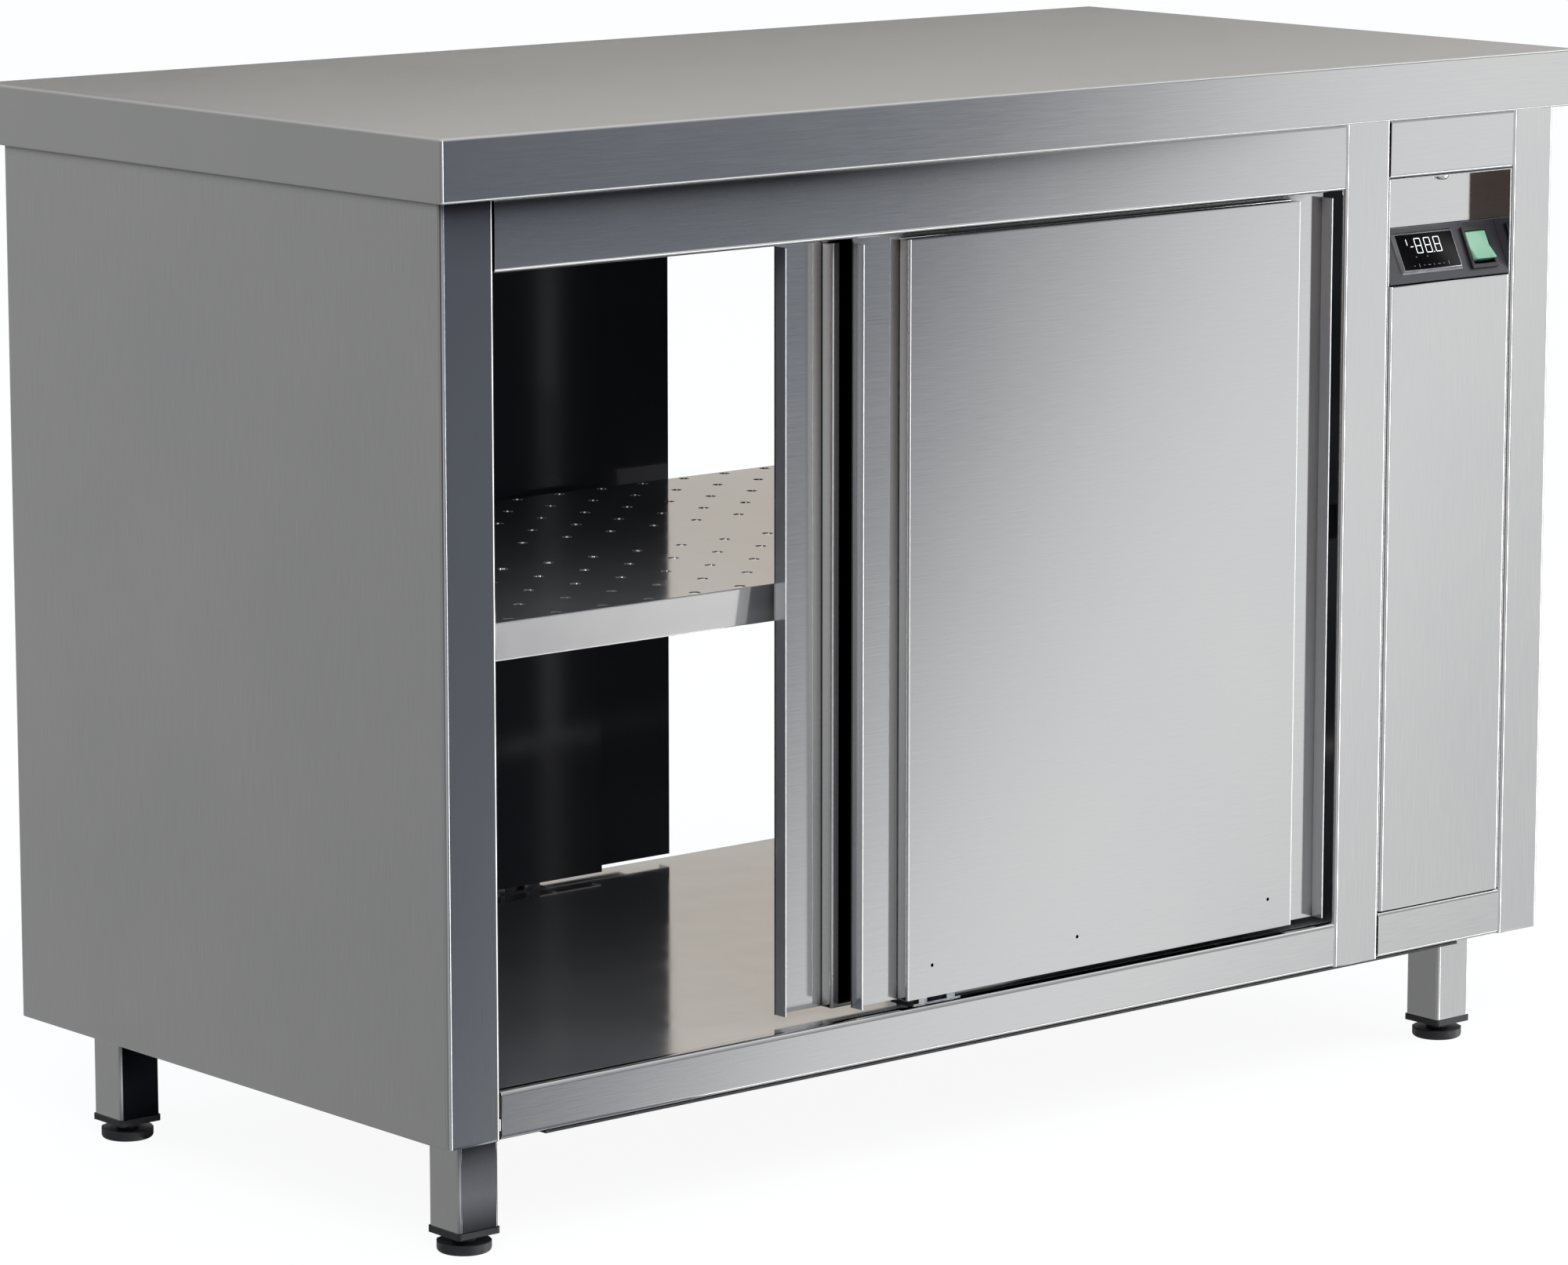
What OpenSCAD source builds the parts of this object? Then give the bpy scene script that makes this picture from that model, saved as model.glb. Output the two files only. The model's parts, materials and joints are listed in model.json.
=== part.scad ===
// Pass-through hot cupboard: a heated stainless chamber under a worktop, with two
// sliding doors on the front, two on the rear, and a control bay on the right.
// The origin is on the floor under the middle of the worktop, and -Y is the front.

/* [Worktop] */
// Height from the floor to the top of the worktop
overall_h = 850; // [780:5:950]
// Length of the worktop
top_w = 1200; // [1100:10:1800]
// Depth of the worktop
top_d = 600; // [560:10:800]
// Height of the worktop's folded edge
top_h = 48; // [36:1:60]
// How far the worktop passes each side of the body
side_overhang = 10; // [6:1:12]
// How far the worktop passes the front and the rear of the body
front_overhang = 15; // [15:1:30]
// Thickness of the worktop sheet
top_sheet = 1.5; // [1.2:0.1:3]
// Width of the lip that is folded in under the worktop
top_lip = 14; // [13:1:20]
// Width of the stiffeners under the worktop
bearer_w = 80; // [50:1:120]

/* [Body] */
// Thickness of the body sheets
sheet = 1.2; // [0.8:0.1:1.6]
// Outer radius of the folds in the body sheets
bend_r = 4; // [2:0.5:6]
// Height of the body's underside above the floor
body_base_z = 93.5; // [80:0.5:150]
// Width of the stile on the left
left_stile_w = 50; // [45:1:70]
// Width of the stile between the doors and the control bay
mid_stile_w = 53; // [45:1:70]
// Width of the stile on the right
right_stile_w = 49; // [45:1:70]
// Width of the control bay
bay_w = 146; // [140:1:200]
// Depth of the stile returns beside the doors
jamb_d = 25; // [18:0.5:25]
// Height of the top rails
top_rail_h = 56; // [52:1:80]
// Height of the bottom rails
bottom_rail_h = 38; // [30:1:60]
// Depth of the bottom rails' fold on to the floor
sill_d = 8.5; // [6:0.5:15]
// Thickness of the pan under the body
pan_t = 2.2; // [1:0.1:3]

/* [Doors] */
// How far the two doors of one side overlap when they are closed
door_overlap = 139; // [110:1:160]
// Width of the finger channel at the leading edge of a door
pull_w = 47.2; // [38:0.1:55]
// Width of the channel at the other edge of a door
back_channel_w = 36.5; // [30:0.1:50]
// Depth from the face of a door to its back sheet
panel_depth = 12; // [11:0.5:16]
// Room between two doors that pass each other
door_gap = 7.8; // [6:0.1:12]
// Distance from the body's front to the face of the outer doors
door_inset = 1.5; // [1:0.1:4]
// Room between the chamber floor and the doors
door_bottom_gap = 6; // [4:0.5:10]
// Room between the top rail and the face panel of a door
door_top_gap = 5; // [0.5:0.1:8]
// How far the outer front door stands open, as a share of its travel from the right
front_outer_share = 0.0324; // [0:0.0001:1]
// How far the inner front door stands open, as a share of its travel from the left
front_inner_share = 0.803; // [0:0.001:1]
// How far the outer rear door stands from the left, as a share of its travel
rear_outer_share = 0.2888; // [0:0.0001:1]
// How far the inner rear door stands from the left, as a share of its travel
rear_inner_share = 0.0391; // [0:0.0001:1]

/* [Door track] */
// Outer diameter of a door roller
roller_d = 22; // [19:0.5:26]
// Width of a door roller
roller_w = 6; // [5:0.1:6.2]
// Diameter at the bottom of a roller's groove
groove_d = 16; // [12:0.5:17]
// Diameter of a roller's axle
axle_d = 5; // [4:0.1:8]
// Height of the door track
track_h = 42; // [39:0.5:46]
// Wall thickness of the door track
track_t = 2; // [1.5:0.1:3]
// Height of the guide pegs that stand in the bottom of the doors
peg_h = 20; // [14:0.5:24]
// Distance between the two pegs of a door
peg_spacing = 29.5; // [20:0.5:32]

/* [Shelf] */
// Height of the shelf's top above the floor
shelf_z = 476.3; // [455:0.1:600]
// Height of the shelf's folded edge
shelf_edge_h = 30; // [20:1:40]
// Distance from the body's front to the shelf
shelf_inset = 49.6; // [48:0.1:80]
// Distance between the holes in the shelf
hole_pitch = 45.35; // [30:0.05:80]
// Diameter of the holes in the shelf
hole_d = 9; // [5:0.5:14]

/* [Legs] */
// Width of the square leg tube
leg_w = 38; // [30:1:42]
// Wall thickness of the leg tube
leg_wall = 1.5; // [1:0.1:3]
// Height of the leg tube's lower end above the floor
leg_bottom_z = 19; // [17:0.5:30]
// Distance from the body's left side to the left legs
leg_inset_left = 28.7; // [20:0.1:45]
// Distance from the body's right side to the right legs
leg_inset_right = 56.5; // [40:0.1:70]
// Distance from the body's front to the front legs
leg_inset_front = 25.5; // [25.5:0.1:60]
// Distance from the body's rear to the rear legs
leg_inset_rear = 59.8; // [25.5:0.1:80]
// Diameter of the foot discs
foot_d = 42; // [34:1:60]
// Height of the foot discs
foot_h = 8.5; // [6:0.5:10]
// Diameter of the feet's threaded stems
stem_d = 10; // [8:1:14]
// How far a foot can be screwed out
foot_travel = 20; // [10:1:24]

/* [Controls] */
// Height of the control recess
recess_h = 89; // [80:1:120]
// Depth of the control recess
recess_d = 25; // [24:1:60]
// Height of the panel over the control recess
header_h = 50; // [40:1:60]
// Height of the panel under the service cover
kick_h = 39.5; // [30:0.5:60]
// Lean of the console plate from upright, in degrees
console_tilt = 25.8; // [15:0.1:32]
// Length of the console plate up its slope
console_len = 48.3; // [46:0.1:60]
// Thickness of the console plate
console_t = 1.5; // [1:0.1:2.5]
// Width of the controller's face
display_w = 68; // [50:1:74]
// Height of the controller's face
display_h = 32; // [24:1:36]
// Width of the switch frame
switch_w = 31.7; // [29:0.1:36]
// Height of the switch frame
switch_h = 37; // [36:0.1:40]

/* [Heating] */
// Height of the fan's axis above the floor
fan_z = 285; // [275:1:300]
// Diameter of the fan wheel
fan_d = 116; // [80:1:140]
// Diameter of the heating ring at the middle of its tube
ring_d = 170; // [160:1:210]
// Diameter of the heating tube
ring_tube_d = 8; // [6:0.5:10]
// Width and height of the fan guard
guard_w = 240; // [220:1:240]
// Depth of the fan guard
guard_d = 60; // [56:1:90]

/* [Hidden] */
$fn = 64;
// Room left for cuts to pass a surface, and fits between pieces
overrun = 1;
run_clear = 0.3;
axle_clear = 0.05;
seat_clear = 0.1;

// Body box and the levels in it
body_w = top_w - 2 * side_overhang;
body_d = top_d - 2 * front_overhang;
body_x0 = -body_w / 2;
body_x1 = body_w / 2;
body_y0 = -body_d / 2;
body_y1 = body_d / 2;
body_top = overall_h - top_h;
body_h = body_top - body_base_z;
floor_z = body_base_z + bottom_rail_h;
rail_z = body_top - top_rail_h;
rail_top_d = jamb_d * 2;
rail_lip_d = panel_depth - door_inset / 2;
rail_foot_d = 20;

// Door opening and control bay
bay_x1 = body_x1 - right_stile_w;
bay_x0 = bay_x1 - bay_w;
bay_mid = (bay_x0 + bay_x1) / 2;
open_x0 = body_x0 + left_stile_w;
open_x1 = bay_x0 - mid_stile_w;
open_w = open_x1 - open_x0;
open_mid = (open_x0 + open_x1) / 2;

// Doors, measured from their own left lower front corner
door_w = (open_w + door_overlap) / 2;
stop_gap = 0.5;
door_travel = open_w - door_w - 2 * stop_gap;
door_t = panel_depth + sheet;
track_pitch = door_t + door_gap;
door_z0 = floor_z + door_bottom_gap;
door_z1 = rail_z - door_top_gap;
panel_w = door_w - pull_w - back_channel_w;
vent_d = 3;
vent_rise = 25.5;
vent_shares = [0.062, 0.429, 0.934];

// Door track, rollers and guide pegs
groove_w = roller_w / 2;
bead_w = groove_w - 2 * run_clear;
bead_h = (roller_d - groove_d) / 2 + run_clear * 2;
roller_gap = 1;
roller_v = door_t + roller_gap + roller_w / 2;
track_z1 = body_top - sheet;
track_z0 = track_z1 - track_h;
roller_z = track_z0 + track_t + bead_h + groove_d / 2 + run_clear;
axle_len = roller_gap + roller_w + roller_gap / 2;
hanger_z1 = roller_z + roller_d / 2 + roller_gap;
ledge_v = roller_v - bead_w;
web_v = door_t + axle_len + roller_gap;
roller_shares = [0.12, 0.88];
peg_w = 8.5;
peg_d = 6;
peg_v = (sheet + panel_depth - peg_d) / 2;
guide_t = sheet;
guide_margin = 6;

// Chamber linings, insulation and shelf
ceiling_gap = 2;
ceiling_drop = 14;
chamber_y0 = body_y0 + rail_top_d + ceiling_gap;
chamber_d = -2 * chamber_y0;
ceiling_z = body_top - ceiling_drop;
plate_t = 3;
plate_z0 = floor_z - sheet - plate_t;
plate_w = 92;
pan_inset = 2;
pan_x0 = body_x0 + plate_w + sheet;
pan_x1 = body_x1 - leg_inset_right - leg_w - pan_inset;
shelf_gap = 1;
shelf_w = open_w - 2 * shelf_gap;
shelf_d = body_d - 2 * shelf_inset;
hole_edge = 7;
hole_cols = floor((shelf_w - 2 * hole_edge) / hole_pitch);
hole_rows = floor((shelf_d - 2 * hole_edge) / hole_pitch);
bracket_w = 20;
bracket_t = 1.5;
bracket_inset = 10;

// Legs and feet
leg_r = 3;
cap_h = 5;
cap_lip = 1;
plug_h = 20;
neck_flare = 8;
neck_d = stem_d + neck_flare;
foot_r = 3;
stem_top_z = leg_bottom_z + plug_h + foot_travel + cap_lip;
leg_xs = [body_x0 + leg_inset_left, body_x1 - leg_inset_right - leg_w];
leg_ys = [body_y0 + leg_inset_front, body_y1 - leg_inset_rear - leg_w];

// Console, controller and switch, measured on the slope of the plate
recess_z1 = body_top - header_h;
console_z = recess_z1 - recess_h;
cover_gap = 0.5;
cover_return = 12;
header_return = 26;
console_lift = 1;
console_spare = bay_w - display_w - switch_w;
console_left_share = 0.4536;
console_gap_share = 0.2678;
display_u = console_spare * console_left_share;
display_v = 9.9;
face_h = 2.5;
control_depth = 30;
control_wall = 2.5;
switch_u = display_u + display_w + console_spare * console_gap_share;
switch_v = 6.1;
switch_wall = 1.6;
switch_bar_w = 3.4;
switch_bar_h = 3.9;
rocker_gap = 0.3;
rocker_w = switch_w - 2 * switch_bar_w - 2 * rocker_gap;
rocker_l = 26.4;
rocker_pin_d = 3;
rocker_pivot = 3;
rocker_deep = 5;
rocker_crown = 7.4;
rocker_dip = 2.4;
rocker_tilt = 10;
rocker_well = 11;
rocker_foot_share = 0.75;
screw_d = 14;
screw_h = 5;
screw_shank_d = 5;
screw_y = 13.5;

// Rear panel, gland and terminals
gland_r = 5;
gland_thread_d = 20;
gland_hex_d = 28;
gland_hex_t = 5;
gland_dome_d = 22;
gland_dome_h = 8;
gland_in = 12;
gland_z = 210;
term_size = [60, 34, 30];
term_slot = 7;
term_pitch = 12;
term_y = 150;

// Fan, heating ring and probe
shaft_d = 8;
shaft_hole_d = 14;
hub_d = 26;
hub_l = 40;
wheel_gap = 13;
wheel_t = 2;
blade_h = 25;
blade_t = 1.5;
blade_count = 10;
motor_d = 84;
motor_l = 60;
motor_flange_w = 100;
motor_flange_t = 3;
shaft_tail = 6;
shaft_nose = 2;
ring_gap = 25;
lead_spread = 15;
lead_tail = 18;
lead_clear = 0.5;
intake_d = 20;
intake_ring_d = 84;
intake_count = 10;
outlet_w = 60;
outlet_h = 20;
outlet_gap = 30;
probe_d = 6;
probe_y = 60;
probe_z = 560;
probe_reach = 25;
probe_tail = 12;
probe_bush_d = 14;
probe_bush_t = 4;

// Each door's place: side, track from the outside in, and distance from the left jamb
front_outer = ["front", 0, stop_gap + (1 - front_outer_share) * door_travel];
front_inner = ["front", 1, stop_gap + front_inner_share * door_travel];
rear_outer = ["rear", 0, stop_gap + rear_outer_share * door_travel];
rear_inner = ["rear", 1, stop_gap + rear_inner_share * door_travel];

// A rectangle with round corners, from its own corner
module rounded_rect(w, d, r) {
    translate([r, 0]) square([w - 2 * r, d]);
    translate([0, r]) square([w, d - 2 * r]);
    for (x = [r, w - r], y = [r, d - r]) translate([x, y]) circle(r = r);
}

// The wall of a folded sheet box, seen along its folds
module folded_ring(w, d) {
    difference() {
        rounded_rect(w, d, bend_r);
        translate([sheet, sheet]) rounded_rect(w - 2 * sheet, d - 2 * sheet, bend_r - sheet);
    }
}

// A folded channel, seen along its length: a face on the left, returns at both ends
module folded_channel(h, top_return, foot_return) {
    reach = max(top_return, foot_return) + 2 * bend_r;
    difference() {
        folded_ring(reach, h);
        translate([top_return, h / 2]) square([reach, h]);
        translate([foot_return, -h / 2]) square([reach, h]);
    }
}

// Stretches an outline that is drawn in Y and Z along X
module along_x(length) {
    rotate([90, 0, 90]) linear_extrude(length) children();
}

// The same piece on the front and, turned to face the other way, on the rear
module front_and_rear() {
    children();
    mirror([0, 1, 0]) children();
}

// Puts a piece of a door, drawn from its lower left front corner, in its place
module place_door(door) {
    depth = door_inset + door[1] * track_pitch;
    if (door[0] == "front") translate([open_x0 + door[2], body_y0 + depth, 0]) children();
    else translate([open_x0 + door[2] + door_w, body_y1 - depth, 0]) rotate([0, 0, 180]) children();
}

// Puts a piece on the slope of the console: X across, Y up the slope, Z outwards
module on_console() {
    translate([bay_x0, body_y0, console_z + console_lift]) rotate([90 - console_tilt, 0, 0]) children();
}

// The middle of the switch on the slope of the console
module on_switch() {
    on_console() translate([switch_u + switch_w / 2, switch_v + switch_h / 2, 0]) children();
}

// A cylinder along X from x0
module rod_x(x0, length, d) {
    translate([x0, 0, 0]) rotate([0, 90, 0]) cylinder(h = length, d = d);
}

// The two heating leads, from the ring through the partition
module heating_leads(x0, length, d) {
    drop = sqrt(pow(ring_d / 2, 2) - pow(lead_spread, 2));
    for (y = [-lead_spread, lead_spread]) translate([0, y, fan_z - drop]) rod_x(x0, length, d);
}

// The holes for the fan shaft, the heating leads and the probe
module partition_holes(extra) {
    x0 = open_x1 - overrun;
    length = mid_stile_w + 2 * overrun;
    translate([0, 0, fan_z]) rod_x(x0, length, shaft_hole_d + extra);
    heating_leads(x0, length, ring_tube_d + 2 * lead_clear + extra);
    translate([0, probe_y, probe_z]) rod_x(x0, length, probe_d + 2 * seat_clear + extra);
}

module worktop_skin() color("#9d9894") {
    inner_w = top_w - 2 * top_sheet;
    inner_d = top_d - 2 * top_sheet;
    lip_in = top_lip - top_sheet;
    difference() {
        translate([-top_w / 2, -top_d / 2, body_top])
            linear_extrude(top_h) rounded_rect(top_w, top_d, top_sheet);
        translate([-inner_w / 2, -inner_d / 2, body_top + top_sheet])
            cube([inner_w, inner_d, top_h - 2 * top_sheet]);
        translate([lip_in - inner_w / 2, lip_in - inner_d / 2, body_top - overrun])
            cube([inner_w - 2 * lip_in, inner_d - 2 * lip_in, top_sheet + 2 * overrun]);
    }
}

module worktop_bearers() color("#8a8d90") {
    bearer_h = top_h - top_sheet;
    bearer_l = top_w - 2 * top_lip - 2 * run_clear;
    for (side = [-1, 1])
        translate([-bearer_l / 2, side * body_d / 4 - bearer_w / 2, body_top])
            along_x(bearer_l)
                difference() {
                    square([bearer_w, bearer_h]);
                    translate([top_sheet, -overrun])
                        square([bearer_w - 2 * top_sheet, bearer_h - top_sheet + overrun]);
                }
}

// A side of the body, folded round the front and the rear into the two stiles
module side_casing(w) {
    linear_extrude(body_h)
        difference() {
            folded_ring(w, body_d);
            translate([w - sheet - overrun, jamb_d]) square([sheet + 2 * overrun, body_d - 2 * jamb_d]);
        }
}

module left_side_panel() color("#808285") {
    translate([body_x0, body_y0, body_base_z]) side_casing(left_stile_w);
}

module right_side_panel() color("#808285") {
    translate([body_x1, body_y0, body_base_z]) mirror([1, 0, 0]) side_casing(right_stile_w);
}

module partition_casing() color("#8c8f92") {
    difference() {
        translate([open_x1, body_y0, body_base_z]) linear_extrude(body_h) folded_ring(mid_stile_w, body_d);
        partition_holes(0);
    }
}

module left_lining() color("#8c8f92") {
    translate([open_x0 - sheet, body_y0 + jamb_d, plate_z0 + plate_t])
        cube([sheet, body_d - 2 * jamb_d, body_top - plate_z0 - plate_t]);
}

module ceiling_panel() color("#8c8f92") {
    translate([open_x0, chamber_y0, ceiling_z]) cube([open_w, chamber_d, sheet]);
}

module floor_panel() color("#b4aca4") {
    translate([open_x0, body_y0 + sill_d, floor_z - sheet]) cube([open_w, body_d - 2 * sill_d, sheet]);
}

module insulation() color("#d8c878") {
    slab_z0 = plate_z0 + plate_t;
    translate([body_x0 + sheet, body_y0 + jamb_d, slab_z0])
        cube([left_stile_w - 2 * sheet, body_d - 2 * jamb_d, body_top - slab_z0]);
    translate([pan_x0, body_y0 + rail_foot_d, body_base_z])
        cube([open_x1 - pan_x0, body_d - 2 * rail_foot_d, bottom_rail_h - sheet]);
    translate([open_x0, chamber_y0, ceiling_z + sheet])
        cube([open_w, chamber_d, body_top - ceiling_z - sheet]);
    difference() {
        translate([open_x1 + sheet, body_y0 + bend_r, body_base_z])
            cube([mid_stile_w - 2 * sheet, body_d - 2 * bend_r, body_h]);
        partition_holes(seat_clear);
    }
}

module top_rails() color("#9a9da1") {
    front_and_rear()
        translate([open_x0, body_y0, rail_z])
            along_x(open_w) folded_channel(top_rail_h, rail_top_d, rail_lip_d);
}

module bottom_rails() color("#a4a7ab") {
    front_and_rear()
        translate([open_x0, body_y0, body_base_z])
            along_x(open_w) folded_channel(bottom_rail_h, sill_d, rail_foot_d);
}

module base_pan() color("#3a3c3e") {
    translate([pan_x0, body_y0 + pan_inset, body_base_z - pan_t])
        cube([pan_x1 - pan_x0, body_d - 2 * pan_inset, pan_t]);
}

module leg_plates() color("#8a8d90") {
    plate_d = body_d - 2 * jamb_d;
    translate([body_x0 + sheet, body_y0 + jamb_d, plate_z0]) cube([plate_w, plate_d, plate_t]);
    translate([bay_x0, body_y0 + jamb_d, plate_z0]) cube([body_x1 - sheet - bay_x0, plate_d, plate_t]);
}

module legs() color("#b8babd") {
    for (x = leg_xs, y = leg_ys)
        translate([x, y, leg_bottom_z])
            linear_extrude(plate_z0 - leg_bottom_z)
                difference() {
                    rounded_rect(leg_w, leg_w, leg_r);
                    translate([leg_wall, leg_wall])
                        rounded_rect(leg_w - 2 * leg_wall, leg_w - 2 * leg_wall, leg_r - leg_wall);
                }
}

module leg_inserts() color("#18181a") {
    plug_w = leg_w - 2 * leg_wall - 2 * seat_clear;
    cap_w = leg_w + 2 * cap_lip;
    for (x = leg_xs, y = leg_ys)
        translate([x + leg_w / 2, y + leg_w / 2, leg_bottom_z])
            difference() {
                union() {
                    translate([-cap_w / 2, -cap_w / 2, -cap_h])
                        linear_extrude(cap_h) rounded_rect(cap_w, cap_w, leg_r);
                    translate([-plug_w / 2, -plug_w / 2, 0])
                        linear_extrude(plug_h) rounded_rect(plug_w, plug_w, leg_r / 2);
                }
                translate([0, 0, -cap_h - overrun])
                    cylinder(h = cap_h + plug_h + 2 * overrun, d = stem_d + 2 * axle_clear);
            }
}

module header_panel() color("#c4c4c8") {
    difference() {
        translate([bay_x0, body_y0, recess_z1])
            along_x(bay_w) folded_channel(header_h, header_return, header_return);
        translate([bay_mid, body_y0 + screw_y, recess_z1 - overrun])
            cylinder(h = sheet + 2 * overrun, d = screw_shank_d + 2 * seat_clear);
    }
}

// Two cheeks, a back wall and a ceiling, with a ledge that meets the top edge of the console
module control_recess() color("#77797c") {
    inner_w = bay_w - 2 * sheet;
    ledge_y = console_len * sin(console_tilt) + console_t * cos(console_tilt) + seat_clear;
    ledge_h = console_lift + console_len * cos(console_tilt) - console_t * sin(console_tilt);
    difference() {
        translate([bay_x0, body_y0 + sheet, console_z]) cube([bay_w, recess_d, recess_h]);
        translate([bay_x0 + sheet, body_y0 + sheet - overrun, console_z + ledge_h])
            cube([inner_w, recess_d - sheet + overrun, recess_h - ledge_h - sheet]);
        translate([bay_x0 + sheet, body_y0 + sheet - overrun, console_z - overrun])
            cube([inner_w, recess_d + 2 * overrun, ledge_h - sheet + overrun]);
        translate([bay_x0 + sheet, body_y0 - overrun, console_z - overrun])
            cube([inner_w, ledge_y + overrun, ledge_h + 2 * overrun]);
        translate([bay_mid, body_y0 + screw_y, recess_z1 - sheet - overrun])
            cylinder(h = sheet + 2 * overrun, d = screw_shank_d + 2 * seat_clear);
    }
}

module console_plate() color("#4a4c50") {
    on_console()
        difference() {
            translate([sheet, 0, -console_t]) cube([bay_w - 2 * sheet, console_len, console_t]);
            translate([display_u + control_wall, display_v + control_wall, -console_t - overrun])
                cube([display_w - 2 * control_wall, display_h - 2 * control_wall, console_t + 2 * overrun]);
            translate([switch_u + switch_wall, switch_v + switch_wall, -console_t - overrun])
                cube([switch_w - 2 * switch_wall, switch_h - 2 * switch_wall, console_t + 2 * overrun]);
        }
}

module controller() color("#202226") {
    inset = control_wall + seat_clear;
    on_console() {
        translate([display_u, display_v, 0]) cube([display_w, display_h, face_h]);
        translate([display_u + inset, display_v + inset, -control_depth])
            cube([display_w - 2 * inset, display_h - 2 * inset, control_depth]);
    }
}

module switch_body() color("#1c1d20") {
    inset = switch_wall + seat_clear;
    well_w = switch_w - 2 * switch_bar_w;
    well_h = switch_h - 2 * switch_bar_h;
    on_switch()
        difference() {
            union() {
                translate([-switch_w / 2, -switch_h / 2, 0]) cube([switch_w, switch_h, face_h]);
                translate([inset - switch_w / 2, inset - switch_h / 2, -control_depth])
                    cube([switch_w - 2 * inset, switch_h - 2 * inset, control_depth]);
            }
            translate([-well_w / 2, -well_h / 2, -rocker_well])
                cube([well_w, well_h, rocker_well + face_h + overrun]);
            translate([0, 0, -rocker_pivot])
                rod_x(-well_w / 2 - switch_wall / 2, well_w + switch_wall, rocker_pin_d + 2 * axle_clear);
        }
}

module switch_rocker() color("#8fcba4") {
    half = rocker_l / 2;
    foot = half * rocker_foot_share;
    pin_l = rocker_w + 2 * rocker_gap + switch_wall / 2;
    on_switch()
        translate([0, 0, -rocker_pivot])
            rotate([-rocker_tilt, 0, 0]) {
                translate([-rocker_w / 2, 0, 0])
                    along_x(rocker_w)
                        polygon([
                            [-half, rocker_crown], [0, rocker_crown - rocker_dip], [half, rocker_crown],
                            [foot, -rocker_deep], [-foot, -rocker_deep]
                        ]);
                rod_x(-pin_l / 2, pin_l, rocker_pin_d);
            }
}

module service_cover() color("#c4c4c8") {
    cover_w = bay_w - 2 * cover_gap;
    cover_z0 = body_base_z + kick_h + cover_gap;
    translate([bay_x0 + cover_gap, body_y0, cover_z0])
        linear_extrude(console_z - cover_gap - cover_z0)
            difference() {
                folded_ring(cover_w, cover_return + 2 * bend_r);
                translate([-overrun, cover_return]) square([cover_w + 2 * overrun, 3 * bend_r]);
            }
}

module kick_panel() color("#c4c4c8") {
    translate([bay_x0, body_y0, body_base_z]) along_x(bay_w) folded_channel(kick_h, jamb_d, rail_foot_d);
}

module rear_service_panel() color("#8c8f92") {
    difference() {
        translate([bay_x0, body_y1, body_base_z])
            linear_extrude(body_h)
                mirror([0, 1, 0])
                    difference() {
                        folded_ring(bay_w, cover_return + 2 * bend_r);
                        translate([-overrun, cover_return]) square([bay_w + 2 * overrun, 3 * bend_r]);
                    }
        translate([bay_mid, body_y1 + overrun, gland_z])
            rotate([90, 0, 0]) cylinder(h = sheet + 2 * overrun, d = gland_thread_d + 2 * seat_clear);
    }
}

module cable_gland() color("#232427") {
    translate([bay_mid, body_y1, gland_z])
        rotate([-90, 0, 0])
            difference() {
                union() {
                    translate([0, 0, -gland_in]) cylinder(h = gland_in + gland_hex_t, d = gland_thread_d);
                    cylinder(h = gland_hex_t, d = gland_hex_d, $fn = 6);
                    translate([0, 0, -sheet - gland_hex_t])
                        cylinder(h = gland_hex_t, d = gland_hex_d, $fn = 6);
                    cylinder(h = gland_hex_t + gland_dome_h, d = gland_dome_d);
                }
                translate([0, 0, -gland_in - overrun])
                    cylinder(h = gland_in + gland_hex_t + gland_dome_h + 2 * overrun, r = gland_r);
            }
}

module header_screw() color("#b0b2b5") {
    translate([bay_mid, body_y0 + screw_y, recess_z1 - sheet]) {
        translate([0, 0, -screw_h]) cylinder(h = screw_h, d = screw_d);
        cylinder(h = 2 * sheet + screw_h, d = screw_shank_d);
    }
}

module door_tracks() color("#9ea1a5") {
    front_and_rear()
        translate([open_x0, body_y0 + door_inset, 0])
            along_x(open_w) {
                translate([ledge_v, track_z1 - track_t])
                    square([web_v + track_t + track_pitch - ledge_v, track_t]);
                for (track = [0, 1])
                    translate([track * track_pitch, track_z0]) {
                        translate([ledge_v, 0]) square([web_v + track_t - ledge_v, track_t]);
                        translate([roller_v - bead_w / 2, 0]) square([bead_w, track_t + bead_h]);
                        translate([web_v, 0]) square([track_t, track_h]);
                    }
            }
}

module floor_guides() color("#6a6c70") {
    guide_w = peg_spacing + peg_w + 2 * guide_margin;
    front_and_rear()
        translate([open_mid, body_y0 + door_inset + peg_v, floor_z]) {
            translate([-guide_w / 2, 0, 0]) cube([guide_w, track_pitch + peg_d, guide_t]);
            for (track = [0, 1], side = [-1, 1])
                translate([side * peg_spacing / 2 - peg_w / 2, track * track_pitch, 0])
                    cube([peg_w, peg_d, peg_h]);
        }
}

module shelf() color("#aaa59f") {
    shelf_x0 = open_mid - shelf_w / 2;
    hole_x0 = open_mid - hole_cols * hole_pitch / 2;
    hole_y0 = -hole_rows * hole_pitch / 2;
    difference() {
        translate([shelf_x0, -shelf_d / 2, shelf_z - shelf_edge_h])
            cube([shelf_w, shelf_d, shelf_edge_h]);
        translate([shelf_x0 + sheet, sheet - shelf_d / 2, shelf_z - shelf_edge_h - overrun])
            cube([shelf_w - 2 * sheet, shelf_d - 2 * sheet, shelf_edge_h - sheet + overrun]);
        for (col = [0 : hole_cols], row = [0 : hole_rows])
            if (row != hole_rows / 2)
                translate([hole_x0 + col * hole_pitch, hole_y0 + row * hole_pitch, shelf_z])
                    cylinder(h = 2 * (sheet + overrun), d = hole_d, center = true);
    }
}

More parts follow.
